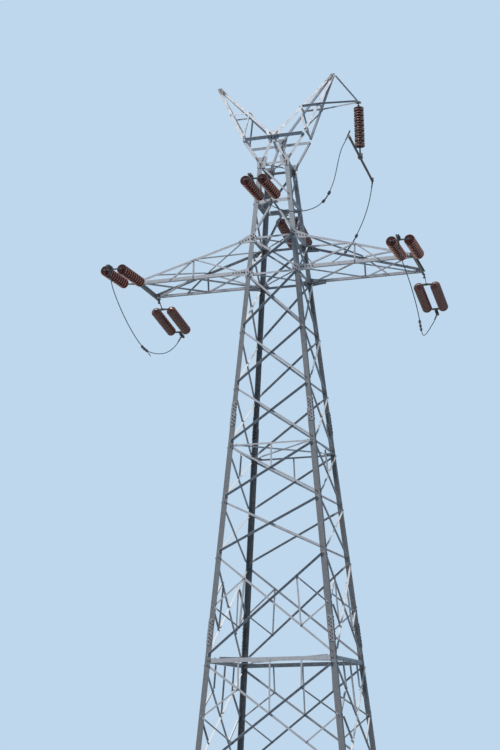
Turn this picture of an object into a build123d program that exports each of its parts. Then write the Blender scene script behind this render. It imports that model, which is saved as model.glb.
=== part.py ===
"""Lattice tension tower with two crossarms, a pair of horns and its insulator strings.

Millimetres, +Z up. The origin is on the ground, in the middle between the four feet.
The crossarms lie along X and the lines run along Y. The front of the tower faces -Y.
"""
import math
import os

from build123d import *

os.makedirs("parts", exist_ok=True)

# Tower body
base_width = 3860.0
top_width = 850.0
ring_level = 3200.0
bay_heights = (2550.0, 1400.0, 1430.0, 1560.0, 1550.0, 1550.0)
arm_depth = 1030.0
beam_rise = 1060.0
head_rise = 1090.0
tie_rise = 790.0
horn_rise = 1740.0

# Steel sections
leg_width = 140.0
upper_leg_width = 125.0
leg_thick = 12.0
chord_width = 90.0
chord_thick = 8.0
upper_chord_width = 63.0
diagonal_width = 52.0
bar_thick = 6.0
redundant_width = 40.0
ring_width = 100.0
plate_thick = 8.0
bar_gauge = 70.0
end_lap = 30.0
coping = 170.0
outer_coping = 10.0
spacer_radius = 34.0

# Feet and leg splices
shoe_width = 460.0
shoe_thick = 28.0
shoe_upright = 420.0
shoe_rib_thick = 12.0
anchor_spacing = 320.0
anchor_hole = 36.0
lower_splice_level = 3850.0
upper_splice_level = 9400.0
splice_length = 640.0
splice_thick = 10.0

# Crossarms
arm_reach = 3720.0
arm_node = 2200.0
arm_web_node = 2850.0
arm_tip_depth = 115.0
root_gap = 10.0
arm_gusset_reach = 400.0
upper_gusset_reach = 330.0
tip_beam_half = 950.0
tip_beam_height = 120.0
tip_beam_flange = 60.0
tip_beam_thick = 10.0

# Horns and jumper bracket
horn_reach = 1656.0
tie_reach = 861.0
outer_web_x = 1255.0
inner_web_x = 717.0
web_rise = 820.0
horn_bar = 75.0
peak_plate_thick = 20.0
bracket_reach = 2305.0

# Insulator strings and their fittings
disc_radius = 140.0
disc_neck = 52.0
disc_pitch = 146.0
disc_sides = 6
cap_height = 62.0
skirt_height = 52.0
tension_discs = 10
hanging_discs = 8
twin_spacing = 450.0
yoke_depth = 110.0
yoke_thick = 16.0
lug_reach = 25.0
front_string_start = 1150.0
back_string_start = 1250.0
front_string_level = 13140.0
back_string_level = 13050.0
middle_string_start = 1000.0
middle_string_level = 15230.0
front_droop = 2.4
back_droop = 9.5
clamp_length = 330.0
clamp_radius = 23.0
tongue_radius = 22.0
round_sides = 12
hook_drop = 108.0

# Jumpers
jumper_radius = 12.0
jumper_sides = 8
pipe_radius = 32.0
pipe_lug = 60.0
pipe_front = (2231.0, -1060.0, 16617.0)
pipe_back = (2389.0, 1190.0, 16166.0)

# Levels worked out from the sizes above
bay_levels = [ring_level + sum(bay_heights[:count]) for count in range(len(bay_heights) + 1)]
mid_level = bay_levels[3]
waist_level = bay_levels[-1]
arm_top_level = waist_level + arm_depth
beam_level = arm_top_level + beam_rise
head_level = beam_level + head_rise
tie_level = head_level + tie_rise
tip_level = tie_level + horn_rise
taper = (base_width - top_width) / 2 / head_level
slope = math.hypot(1, taper)
string_x = arm_reach + lug_reach


def half(level):
    """Half the tower's width, between the heels of its legs, at a level."""
    return base_width / 2 - taper * level


def face_plane(turn):
    """The outer plane of one tower face; 0 is the front, 90 the right side."""
    turn = math.radians(turn)
    across = (math.cos(turn), math.sin(turn), 0)
    outward = (math.sin(turn), -math.cos(turn))
    foot = (outward[0] * base_width / 2, outward[1] * base_width / 2, 0)
    return Plane(origin=foot, x_dir=across, z_dir=(outward[0], outward[1], taper))


def level_plane(level, turn=0):
    """A level plane seen from above, turned so that its -Y points out of one face."""
    turn = math.radians(turn)
    return Plane(origin=(0, 0, level), x_dir=(math.cos(turn), math.sin(turn), 0), z_dir=(0, 0, 1))


def corner(level, side, gauge=bar_gauge):
    """A point of a face plane beside one leg, on the bolt line."""
    return (side * (half(level) - gauge), level * slope)


def between(start, end, share):
    """The point at a share of the way from start to end."""
    return tuple(a + (b - a) * share for a, b in zip(start, end))


def crossing(first, second):
    """Where two bars of one plane cross."""
    (x1, y1), (x2, y2) = first
    (x3, y3), (x4, y4) = second
    cross = (x2 - x1) * (y4 - y3) - (y2 - y1) * (x4 - x3)
    share = ((x3 - x1) * (y4 - y3) - (y3 - y1) * (x4 - x3)) / cross
    return between(first[0], first[1], share)


def strip(start, end, width, side=0.0, lap=0.0):
    """A straight strip between two points of the sketch, moved sideways and longer by its laps."""
    run = Vector(*end) - Vector(*start)
    turn = math.degrees(math.atan2(run.Y, run.X))
    shift = Vector(-run.Y, run.X) * (side / run.length)
    with Locations((Vector(*start) + Vector(*end)) / 2 + shift):
        Rectangle(run.length + 2 * lap, width, rotation=turn)


def thicken(shape, plane, amount, both=False):
    """Give a flat shape its thickness, square to its plane."""
    extrude(shape.sketch, amount=amount, dir=plane.z_dir, both=both)


def lay_strips(plane, bars, width, thick, side=0.0, lap=0.0):
    """Flat strips between pairs of points of a plane."""
    with BuildSketch(plane) as shape:
        for start, end in bars:
            strip(start, end, width, side, lap)
    thicken(shape, plane, thick)


def lay_angles(plane, bars, width, thick, way=1, cope=coping, lap=end_lap, flat=None):
    """Angle bars whose flat legs lie on a plane and whose other legs stand off it."""
    lay_strips(plane, bars, width, way * (flat or thick), lap=lap)
    lay_strips(plane, bars, thick, way * width, side=(width - thick) / 2, lap=-cope)


def lay_plates(plane, outlines, thick):
    """Flat plates with straight edges, laid on a plane."""
    with BuildSketch(plane) as shape:
        for outline in outlines:
            Polygon(*outline, align=None)
    thicken(shape, plane, thick)


def lay_block(plane, centre, size, thick, both=False):
    """A rectangular plate centred on a point of a plane."""
    with BuildSketch(plane) as shape:
        with Locations(centre):
            Rectangle(*size)
    thicken(shape, plane, thick, both)


def angle_between(start, end, width, thick, up=(0, 0, 1)):
    """A loose angle bar from one point to another, heel on the line."""
    line = Vector(*end) - Vector(*start)
    across = line.cross(Vector(*up)).normalized()
    outline = [(0, 0), (width, 0), (width, thick), (thick, thick), (thick, width), (0, width)]
    lay_plates(Plane(origin=start, x_dir=across, z_dir=line), [outline], line.length)


def finish(piece, label):
    """Name a finished piece and write it."""
    piece.part.label = label
    export_step(piece.part, f"parts/{label}.step")


# Legs: two flat strips on neighbouring faces make each angle
def leg_strip(turn, side, low, high, width):
    """One leg's flange on one face."""
    outline = [
        (side * half(low), low * slope),
        (side * half(high), high * slope),
        (side * (half(high) - width), high * slope),
        (side * (half(low) - width), low * slope),
    ]
    lay_plates(face_plane(turn), [outline], -leg_thick)


def make_leg(turn):
    """The leg between the face at this turn and the next face round."""
    with BuildPart() as leg:
        for face, side in ((turn, 1), (turn + 90, -1)):
            leg_strip(face, side, -shoe_thick, upper_splice_level, leg_width)
            leg_strip(face, side, upper_splice_level, head_level, upper_leg_width)
        split(bisect_by=Plane.XY.offset(shoe_thick), keep=Keep.TOP)
    return leg


leg_names = {270: "leg_front_left", 0: "leg_front_right", 90: "leg_back_right", 180: "leg_back_left"}
for turn, name in leg_names.items():
    finish(make_leg(turn), name)

# Feet: a base plate, two uprights outside the leg and ribs
with BuildPart() as base_shoes:
    heel = half(shoe_thick)
    shoe_centre = heel - leg_width / 2
    with BuildSketch():
        with GridLocations(2 * shoe_centre, 2 * shoe_centre, 2, 2):
            Rectangle(shoe_width, shoe_width)
    extrude(amount=shoe_thick)
    for turn in leg_names:
        for face, side in ((turn, 1), (turn + 90, -1)):
            top = shoe_thick + shoe_upright
            inner = leg_width + 60
            outline = [
                (side * (half(0) + shoe_rib_thick), 0),
                (side * (half(top) + shoe_rib_thick), top * slope),
                (side * (half(top) - leg_width), top * slope),
                (side * (half(0) - inner), (shoe_thick + 120) * slope),
                (side * (half(0) - inner), 0),
            ]
            lay_plates(face_plane(face), [outline], shoe_rib_thick)
            rib = (
                (side * (half(0) - leg_width / 2), 0),
                (side * (half(top) - leg_width / 2), (top - 120) * slope),
            )
            lay_strips(face_plane(face), [rib], shoe_rib_thick, 90)
    split(bisect_by=Plane.XY, keep=Keep.TOP)
    with BuildSketch(Plane.XY):
        with GridLocations(2 * shoe_centre, 2 * shoe_centre, 2, 2):
            with GridLocations(anchor_spacing, anchor_spacing, 2, 2):
                Circle(anchor_hole / 2)
    extrude(amount=shoe_thick, mode=Mode.SUBTRACT)
finish(base_shoes, "base_shoes")

# Cover angles over the joints of the legs
with BuildPart() as leg_splices:
    for level in (lower_splice_level, upper_splice_level):
        low, high = level - splice_length / 2, level + splice_length / 2
        for turn in leg_names:
            for face, side, over in ((turn, 1, splice_thick), (turn + 90, -1, 0)):
                outline = [
                    (side * (half(low) + over), low * slope),
                    (side * (half(high) + over), high * slope),
                    (side * (half(high) - upper_leg_width + 8), high * slope),
                    (side * (half(low) - upper_leg_width + 8), low * slope),
                ]
                lay_plates(face_plane(face), [outline], splice_thick)
finish(leg_splices, "leg_splices")


# Faces of the tower: crossed angle bars, one outside the legs and one inside
def crossed_bars(bottom, top, foot_lift=90.0, top_drop=60.0):
    """The diagonals of one bay: the outer one climbs to the right, the inner one to the left."""
    outer = (corner(bottom + foot_lift, -1), corner(top - top_drop, 1))
    inner = (corner(top - top_drop, -1), corner(bottom + foot_lift, 1))
    return outer, inner


def lay_spacers(plane, points):
    """Round fillers between the outer and the inner bars."""
    with BuildSketch(plane) as shape:
        with Locations(*points):
            RegularPolygon(spacer_radius, 8)
    thicken(shape, plane, -leg_thick)


def lay_girt(turn, level, width, thick=bar_thick):
    """A level angle bar round one face: a flat leg inside the legs and a level leg on top."""
    inside = face_plane(turn).offset(-leg_thick)
    reach = half(level) - bar_gauge
    drop = (level - width / 2) * slope
    lay_strips(inside, [((-reach, drop), (reach, drop))], width, -thick, lap=end_lap)
    shelf = -half(level) + leg_thick + 1 + width / 2
    lay_strips(level_plane(level, turn), [((-reach, shelf), (reach, shelf))], width, -thick, lap=bar_gauge - coping)


def quarters(bars):
    """Points halfway from the crossing to the four ends: the outer bar's two, then the inner's."""
    cross = crossing(*bars)
    return [between(end, cross, 0.5) for bar in bars for end in bar]


def redundants(bars, bottom, top):
    """Short bars that hold the legs and the diagonals of a tall bay."""
    low_left, high_right, high_left, low_right = quarters(bars)
    middle_level = (bottom + top) / 2
    left = corner(middle_level, -1)
    right = corner(middle_level, 1)
    outside = [(left, low_left), (high_right, right)]
    inside = [(low_right, right), (left, high_left)]
    return outside, inside


def leg_face(turn):
    """Bracing of one face between the ground and the ring."""
    plane = face_plane(turn)
    inside = plane.offset(-leg_thick)
    foot_level = shoe_upright
    bars = crossed_bars(foot_level, ring_level, top_drop=ring_width + 60)
    outside_ties, inside_ties = redundants(bars, foot_level, ring_level)
    cross = crossing(*bars)
    ring_line = (ring_level - ring_width / 2) * slope
    low_left, high_right, high_left, low_right = quarters(bars)
    hung = [high_left, cross, high_right]
    hangers = [(point, (point[0], ring_line)) for point in hung]
    with BuildPart() as face:
        lay_angles(plane, [bars[0]], diagonal_width, bar_thick, cope=outer_coping)
        lay_angles(inside, [bars[1]], diagonal_width, bar_thick, way=-1)
        lay_angles(plane, outside_ties, redundant_width, bar_thick, cope=90)
        lay_angles(inside, inside_ties, redundant_width, bar_thick, way=-1, cope=90)
        lay_angles(plane, hangers, redundant_width, bar_thick, way=-1, cope=60, flat=leg_thick, lap=10)
        lay_spacers(plane, [cross])
        lay_girt(turn, ring_level, ring_width, chord_thick)
    return face


def body_face(turn):
    """Bracing of one face from the ring to the head."""
    plane = face_plane(turn)
    behind = plane.offset(-leg_thick)
    bays = [crossed_bars(low, high) for low, high in zip(bay_levels, bay_levels[1:])]
    bays.append(crossed_bars(waist_level, arm_top_level))
    ties = redundants(bays[0], bay_levels[0], bay_levels[1])
    crosses = [crossing(*bars) for bars in bays]
    low_left, high_right, high_left, low_right = quarters(bays[0])
    posts = [
        (high_left, low_left),
        (low_right, high_right),
        (crosses[2], (0, (mid_level - redundant_width / 2) * slope)),
    ]
    outside = [bars[0] for bars in bays]
    inside = [bars[1] for bars in bays]
    top_outer, top_inner = crossed_bars(beam_level, head_level)
    beams = turn == 0
    if beams:
        apex = (0, (beam_level - ring_width / 2) * slope)
        knees = [(apex, corner(arm_top_level + 90, side)) for side in (-1, 1)]
        inside.append(top_inner)
    else:
        outside += [top_outer, crossed_bars(arm_top_level, beam_level)[0]]
    with BuildPart() as face:
        lay_angles(plane, outside, diagonal_width, bar_thick, cope=outer_coping)
        lay_angles(behind, inside, diagonal_width, bar_thick, way=-1)
        lay_angles(plane, ties[0], redundant_width, bar_thick, cope=90)
        lay_angles(behind, ties[1], redundant_width, bar_thick, way=-1, cope=90)
        lay_angles(plane, posts, redundant_width, bar_thick, way=-1, cope=60, flat=leg_thick, lap=10)
        lay_spacers(plane, crosses)
        lay_girt(turn, mid_level, redundant_width)
        for level in (waist_level, arm_top_level, head_level):
            lay_girt(turn, level, diagonal_width)
        lay_girt(turn, beam_level, ring_width, chord_thick)
        if beams:
            lay_angles(behind, knees, diagonal_width, bar_thick, way=-1)
            lay_plates(plane, [outline for side in (-1, 1) for outline in arm_gussets(side)], plate_thick)
            lay_plates(plane, [head_gusset(side) for side in (-1, 1)], plate_thick)
            lay_string_lug(turn)
    return face


def arm_gussets(side):
    """Plates that carry the crossarm's chords, past the leg on one side."""
    low_heel, high_heel = half(waist_level), half(arm_top_level)
    bottom = (waist_level - 95) * slope
    middle = arm_top_level * slope
    fall = (arm_depth - arm_tip_depth) / (arm_reach - high_heel) * upper_gusset_reach
    return [
        [
            (side * (low_heel - upper_leg_width - 60), bottom),
            (side * (low_heel + arm_gusset_reach), bottom + 60),
            (side * (low_heel + arm_gusset_reach), bottom + 165),
            (side * (low_heel - upper_leg_width - 60), bottom + 270),
        ],
        [
            (side * (high_heel - upper_leg_width - 50), middle - 150),
            (side * (high_heel + upper_gusset_reach), middle - fall - upper_chord_width - 15),
            (side * (high_heel + upper_gusset_reach), middle - fall + 12),
            (side * (high_heel - upper_leg_width - 20), middle + 160),
        ],
    ]


def head_gusset(side):
    """Plate at the top of a leg that carries the peak bars."""
    heel = half(head_level)
    low = (head_level - 150) * slope
    high = (head_level + 170) * slope
    return [
        (side * (heel + 10), low),
        (side * (heel + 60), high),
        (side * (heel - 260), high),
        (side * (heel - 200), low),
    ]


def lay_string_lug(turn):
    """Bracket under the middle of the beam that takes the middle string."""
    reach = half(beam_level)
    lay_block(level_plane(beam_level - ring_width, turn), (0, -reach - 40), (260, 190), -12)
    level = level_plane(0, turn)
    upright = Plane(origin=(0, 0, 0), x_dir=level.y_dir, z_dir=level.x_dir)
    lay_block(upright, (-reach - 190, beam_level - ring_width - 6), (150, 90), yoke_thick / 2, both=True)


for turn, name, opposite in ((0, "front", "back"), (90, "right", "left")):
    for face, kind in ((leg_face(turn), "leg_bracing"), (body_face(turn), "body_face")):
        finish(face, f"{name}_{kind}")
        with BuildPart() as turned:
            add(face.part, rotation=(0, 0, 180))
        finish(turned, f"{opposite}_{kind}")


# Level frames that keep the tower square
def plan_frame(level, width, corner_plate):
    """Two crossed bars and four corner plates lying on the girts."""
    reach = half(level) - 150
    plate_centre = half(level) - leg_thick - 10 - corner_plate / 2
    with BuildPart() as frame:
        with BuildSketch(Plane.XY.offset(level)):
            for side in (-1, 1):
                strip((-reach, -side * reach), (reach, side * reach), width)
            with GridLocations(2 * plate_centre, 2 * plate_centre, 2, 2):
                Rectangle(corner_plate, corner_plate)
        extrude(amount=bar_thick)
        with BuildSketch(Plane.XY.offset(level)):
            for side in (-1, 1):
                strip((-reach, -side * reach), (reach, side * reach), bar_thick, (width - bar_thick) / 2, -200)
        extrude(amount=width)
    return frame


finish(plan_frame(ring_level, diagonal_width, 300), "ring_frame")
finish(plan_frame(mid_level, redundant_width, 260), "middle_frame")
finish(plan_frame(waist_level, redundant_width, 240), "waist_frame")
finish(plan_frame(arm_top_level, redundant_width, 240), "arm_top_frame")
finish(plan_frame(head_level, redundant_width, 230), "head_frame")


# Crossarms
def arm_truss(side, turn):
    """One upright side of a crossarm, in the plane of the tower's face."""
    plane = face_plane(turn)
    hand = side if turn == 0 else -side
    low_root = (hand * (half(waist_level) + root_gap), waist_level * slope)
    low_tip = (hand * arm_reach, waist_level * slope)
    high_root = (hand * (half(arm_top_level) + root_gap), arm_top_level * slope)
    high_tip = (hand * arm_reach, (waist_level + arm_tip_depth) * slope)
    node_share = (arm_node - half(arm_top_level)) / (arm_reach - half(arm_top_level))
    upper_node = between(high_root, high_tip, node_share)
    lift = chord_thick + redundant_width / 2
    webs = [
        (upper_node, (upper_node[0], low_root[1] + lift)),
        (upper_node, (low_root[0] + hand * 60, low_root[1] + lift)),
        (upper_node, (hand * arm_web_node, low_root[1] + lift)),
    ]
    with BuildPart() as truss:
        with BuildSketch(plane):
            Polygon(low_root, low_tip, (low_tip[0], low_tip[1] + chord_width),
                    (low_root[0], low_root[1] + chord_width), align=None)
            Polygon(high_root, high_tip, (high_tip[0], high_tip[1] - upper_chord_width),
                    (high_root[0], high_root[1] - upper_chord_width), align=None)
        extrude(amount=-chord_thick)
        shelf = -half(waist_level) + chord_width / 2 + 1
        with BuildSketch(level_plane(waist_level, turn)):
            strip((low_root[0], shelf), (low_tip[0], shelf), chord_width)
        extrude(amount=chord_thick)
        with BuildSketch(arm_top_plane(side)):
            root, tip = arm_top_points(side, turn)
            strip(root, tip, upper_chord_width)
        extrude(amount=-chord_thick)
        lay_angles(plane.offset(-chord_thick), webs, redundant_width, bar_thick, way=-1, cope=70, lap=20)
        split(bisect_by=Plane(origin=(side * arm_reach, 0, 0), z_dir=(side, 0, 0)), keep=Keep.BOTTOM)
    return truss


def arm_top_plane(side):
    """The sloping plane of a crossarm's two upper chords."""
    run = Vector(side * (arm_reach - half(arm_top_level)), 0, arm_tip_depth - arm_depth).normalized()
    across = Vector(0, side, 0)
    return Plane(origin=(side * half(arm_top_level), 0, arm_top_level), x_dir=run, z_dir=run.cross(across))


def arm_top_points(side, turn):
    """Ends of the upper chord's top leg, in the sloping plane."""
    length = math.hypot(arm_reach - half(arm_top_level), arm_depth - arm_tip_depth)
    way = -side if turn == 0 else side
    inset = upper_chord_width / 2 + 1
    root = (root_gap, way * (half(arm_top_level) - inset))
    tip = (length, way * (half(waist_level + arm_tip_depth) - inset))
    return root, tip


def arm_bracing(side):
    """Bars across the top and the bottom of a crossarm."""
    front_root, front_tip = arm_top_points(side, 0)
    back_root, back_tip = arm_top_points(side, 180)
    length = front_tip[0]
    node_share = (arm_node - half(arm_top_level)) / (arm_reach - half(arm_top_level))
    edge = half(waist_level) - chord_width / 2
    root_x = side * (half(waist_level) + 70)
    node_x = side * arm_node
    tip_x = side * (arm_reach - 110)
    with BuildPart() as bracing:
        bars = [
            ((root_x, -edge), (node_x, edge)),
            ((root_x, edge), (node_x, -edge)),
            ((node_x, edge), (tip_x, -edge)),
            ((node_x, -edge), (tip_x, edge)),
        ]
        lay_angles(Plane.XY.offset(waist_level + chord_thick), bars, redundant_width, bar_thick, lap=0, cope=60)
        top_bars = [
            (between(front_root, front_tip, 0.88), between(back_root, back_tip, node_share)),
            (between(back_root, back_tip, node_share), between(front_root, front_tip, 0.03)),
            (between(front_root, front_tip, node_share), between(back_root, back_tip, 0.03)),
        ]
        lay_angles(arm_top_plane(side), top_bars, redundant_width, bar_thick, lap=-15, cope=60)
    return bracing


def tip_beam(side):
    """Channel across the end of a crossarm, with lugs for the strings."""
    web = side * arm_reach
    bottom = waist_level - 5
    with BuildPart() as beam:
        with BuildSketch(Plane(origin=(web, -tip_beam_half, 0), x_dir=(side, 0, 0), z_dir=(0, 1, 0))):
            sign = -1 if side > 0 else 1
            Polygon(
                (0, sign * bottom), (tip_beam_flange, sign * bottom),
                (tip_beam_flange, sign * (bottom + tip_beam_thick)),
                (tip_beam_thick, sign * (bottom + tip_beam_thick)),
                (tip_beam_thick, sign * (bottom + tip_beam_height - tip_beam_thick)),
                (tip_beam_flange, sign * (bottom + tip_beam_height - tip_beam_thick)),
                (tip_beam_flange, sign * (bottom + tip_beam_height)),
                (0, sign * (bottom + tip_beam_height)),
                align=None,
            )
        extrude(amount=2 * tip_beam_half)
        for way in (-1, 1):
            with BuildSketch(Plane(origin=(side * string_x, 0, 0), x_dir=(0, 1, 0), z_dir=(1, 0, 0))):
                with Locations((way * (tip_beam_half - 20), bottom - 10)):
                    Rectangle(150, 100)
            extrude(amount=yoke_thick / 2, both=True)
    return beam


for side, name in ((-1, "left"), (1, "right")):
    finish(arm_truss(side, 0), f"{name}_arm_front_truss")
    finish(arm_truss(side, 180), f"{name}_arm_back_truss")
    finish(arm_bracing(side), f"{name}_arm_bracing")
    finish(tip_beam(side), f"{name}_tip_beam")

# Peak: inverted V bars, the level tie and the outer bars of the horns up to the tie
tie_half = half(tie_level)
horn_lean = tie_half / horn_rise
horn_slope = math.hypot(1, horn_lean)


def horn_plane(turn):
    """The leaning plane of both horns on one side, from the tie to the tips."""
    turn = math.radians(turn)
    outward = (math.sin(turn), -math.cos(turn))
    return Plane(
        origin=(outward[0] * tie_half, outward[1] * tie_half, tie_level),
        x_dir=(math.cos(turn), math.sin(turn), 0),
        z_dir=(outward[0], outward[1], horn_lean),
    )


def peak_bars():
    """Bars of the peak in a face plane: the inverted V and the outer bars."""
    foot = (head_level + 90) * slope
    top = tie_level * slope
    bars = []
    for side in (-1, 1):
        heel = half(head_level)
        bars.append(((side * (heel - 130), foot), (side * 40, top - 90)))
        bars.append(((side * (heel + 10), foot), (side * (tie_reach - 20), top - 60)))
    return bars


def level_tie():
    """The bar across both horns, laid over the middle plate."""
    line = (tie_level - 45) * slope
    return (-tie_reach + 30, line), (tie_reach - 30, line)


with BuildPart() as peak_frame:
    for turn in (0, 180):
        lay_angles(face_plane(turn), peak_bars(), horn_bar, chord_thick, way=-1, cope=60, lap=20)
        lay_angles(face_plane(turn), [level_tie()], horn_bar, chord_thick, cope=20, lap=20, flat=2 * plate_thick)
        low = (tie_level - 190) * slope
        high = tie_level * slope
        lay_plates(face_plane(turn), [[(-130, low), (130, low), (170, high), (-170, high)]], plate_thick)
        lay_plates(horn_plane(turn), [[(-170, 0), (170, 0), (220, 150), (-220, 150)]], plate_thick)
finish(peak_frame, "peak_frame")


# Horns
def horn_bars(hand):
    """Chords and webs of one horn in a leaning plane."""
    web = web_rise * horn_slope
    tip = horn_rise * horn_slope
    outer = ((hand * tie_reach, 30), (hand * (horn_reach - 15), tip - 40))
    inner = ((hand * 75, 60), (hand * (horn_reach - 60), tip - 40))
    outer_node = (hand * outer_web_x, web)
    inner_node = (hand * inner_web_x, web)
    return [outer, inner], [(outer_node, inner_node), (inner_node, (hand * tie_reach, 70))]


def tip_outline(side):
    """The plate where the four chords of a horn meet, narrow at the top."""
    return [
        (side * (horn_reach + 15), tip_level),
        (side * (horn_reach - 95), tip_level),
        (side * (horn_reach - 220), tip_level - 190),
        (side * (horn_reach - 45), tip_level - 190),
    ]


def make_horn(side):
    """One horn: two leaning sides, cross bars between them and the end plate."""
    share = 1 - web_rise / horn_rise
    web_half = tie_half * share
    web_level = tie_level + web_rise
    with BuildPart() as horn:
        for turn in (0, 180):
            hand = side if turn == 0 else -side
            chords, webs = horn_bars(hand)
            lay_angles(horn_plane(turn), chords, horn_bar, chord_thick, way=-1, cope=60, lap=0)
            lay_angles(horn_plane(turn), webs, redundant_width, bar_thick, way=-1, cope=50, lap=10, flat=chord_thick)
        for x, y, level in (
            (outer_web_x, web_half, web_level),
            (inner_web_x, web_half, web_level),
            (tie_reach + 15, tie_half, tie_level + 60),
        ):
            angle_between((side * x, -y + 10, level), (side * x, y - 10, level), redundant_width, bar_thick)
        angle_between(
            (side * tie_reach, -tie_half + 10, tie_level + 100),
            (side * outer_web_x, web_half - 10, web_level - 20),
            redundant_width, bar_thick,
        )
        lay_plates(Plane.XZ.offset(-peak_plate_thick / 2), [tip_outline(side)], peak_plate_thick)
        split(bisect_by=Plane.XY.offset(tie_level + 5), keep=Keep.TOP)
    return horn


finish(make_horn(-1), "left_horn")
finish(make_horn(1), "right_horn")

# Bracket on the right horn that carries the hanging string
bracket_level = tie_level + web_rise + 20
bracket_bottom = bracket_level - redundant_width - peak_plate_thick / 2
with BuildPart() as jumper_bracket:
    chord_y = tie_half * (1 - (web_rise - redundant_width) / horn_rise)
    angle_between(
        (inner_web_x + 60, -chord_y, bracket_level), (outer_web_x + 60, -chord_y, bracket_level),
        redundant_width, bar_thick,
    )
    angle_between(
        (outer_web_x, -chord_y, bracket_level), (bracket_reach, -30, bracket_level),
        redundant_width, bar_thick,
    )
    angle_between(
        (horn_reach + 45, -peak_plate_thick / 2, tip_level - 60), (bracket_reach, -peak_plate_thick / 2, bracket_level),
        redundant_width, bar_thick,
    )
    mirror(about=Plane.XZ)
    with BuildSketch(Plane.XY.offset(bracket_bottom)):
        with Locations((bracket_reach - 10, 0)):
            Rectangle(150, 160)
    extrude(amount=peak_plate_thick / 2)
finish(jumper_bracket, "jumper_bracket")


# Insulator strings
def string_stage(level, height, flare=0.0):
    """One stretch of a string, from its neck outline, straight or flaring upwards."""
    with BuildSketch(Plane.XY.offset(level)) as outline:
        RegularPolygon(disc_neck, disc_sides)
    extrude(outline.sketch, amount=height, taper=-flare)


def make_string(discs):
    """A string of cap and pin discs from the origin up +Z, skirts opening outwards."""
    rim_step = (disc_radius - disc_neck) * math.cos(math.pi / disc_sides)
    flare = math.degrees(math.atan(rim_step / skirt_height))
    with BuildPart() as string:
        for index in range(discs):
            low = index * disc_pitch
            string_stage(low, cap_height)
            string_stage(low + cap_height, skirt_height, flare)
            string_stage(low + cap_height + skirt_height, disc_pitch - cap_height - skirt_height)
    return string.part


tension_string = make_string(tension_discs)


def string_frame(x, start, level, way, droop):
    """Plane at the tower end of a twin string; its normal runs out along the strings."""
    droop = math.radians(droop)
    run = Vector(0, way * math.cos(droop), -math.sin(droop))
    return Plane(origin=(x, way * start, level), x_dir=(1, 0, 0), z_dir=run)


def twin_strings(frames):
    """Two parallel strings in each frame."""
    with BuildPart() as strings:
        for frame in frames:
            for side in (-1, 1):
                with Locations(frame.location * Location((side * twin_spacing / 2, 0, 0))):
                    add(tension_string)
    return strings


def yoke_outline(frame, start, way):
    """A triangular yoke plate; way is its point's direction along the string."""
    edge = twin_spacing / 2 + 40
    return [
        (-edge, start), (edge, start), (edge, start + way * 45),
        (35, start + way * yoke_depth), (-35, start + way * yoke_depth), (-edge, start + way * 45),
    ]


def lay_fittings(frame, anchor):
    """Link and yoke at the tower end, yoke and strain clamp at the line end."""
    length = tension_discs * disc_pitch
    flat = Plane(origin=frame.origin, x_dir=frame.x_dir, z_dir=frame.x_dir.cross(frame.z_dir))
    with BuildSketch(flat) as yokes:
        Polygon(*yoke_outline(frame, 0, -1), align=None)
        Polygon(*yoke_outline(frame, length, 1), align=None)
    thicken(yokes, flat, yoke_thick / 2, both=True)
    apex = frame.origin - frame.z_dir * (yoke_depth - 30)
    hook = Vector(*anchor)
    run = hook - apex
    strap_side = frame.x_dir * (yoke_thick / 2)
    beside = Plane(origin=apex + strap_side, x_dir=run, z_dir=frame.x_dir)
    lay_block(beside, (run.length / 2, 0), (run.length + 60, 50), 10)
    with BuildSketch(frame.offset(length + yoke_depth - 30)) as barrel:
        RegularPolygon(clamp_radius, round_sides)
    thicken(barrel, frame, clamp_length)


def lay_tongue(frame, route):
    """Tongue from the middle of a strain clamp down to the start of a jumper."""
    end, neighbour = Vector(*route[0]), Vector(*route[1])
    run = (end - neighbour).normalized()
    middle = frame.origin + frame.z_dir * (tension_discs * disc_pitch + yoke_depth + clamp_length / 2)
    foot = Plane(origin=end, z_dir=run)
    with BuildSketch(foot) as tongue:
        RegularPolygon(tongue_radius, round_sides)
    thicken(tongue, foot, (middle.Z - end.Z) / run.Z)


arm_frames = {
    side: [
        string_frame(side * string_x, front_string_start, front_string_level, -1, front_droop),
        string_frame(side * string_x, back_string_start, back_string_level, 1, back_droop),
    ]
    for side in (-1, 1)
}
middle_frames = [
    string_frame(0, middle_string_start, middle_string_level, -1, front_droop),
    string_frame(0, middle_string_start, middle_string_level, 1, back_droop),
]

# Jumper routes, from the front clamp to the back clamp. The left one hangs under its strings;
# the right one sways, by the first number of each point
left_line = [
    (-2820, 12895), (-2750, 12745), (-2650, 12600), (-2460, 12445), (-2210, 12280), (-1930, 12120),
    (-1630, 11970), (-1310, 11835), (-980, 11720), (-640, 11625), (-290, 11565), (60, 11560),
    (410, 11600), (760, 11665), (1100, 11745), (1430, 11845), (1740, 11965), (2030, 12100),
    (2290, 12245), (2520, 12399), (2690, 12540),
]
right_line = [
    (0, -2820, 12895), (0, -2750, 12745), (23, -2650, 12590), (60, -2460, 12420),
    (97, -2210, 12235), (122, -1930, 12052), (134, -1630, 11882), (132, -1310, 11731),
    (117, -980, 11602), (90, -640, 11497), (55, -290, 11432), (16, 60, 11425),
    (-23, 410, 11468), (-58, 760, 11540), (-85, 1100, 11632), (-100, 1430, 11746),
    (-102, 1740, 11884), (-92, 2030, 12039), (-68, 2290, 12207), (-23, 2520, 12388),
    (-8, 2690, 12534),
]
left_route = [(-string_x, y, z) for y, z in left_line]
right_route = [(string_x + sway, y, z) for sway, y, z in right_line]
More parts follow.
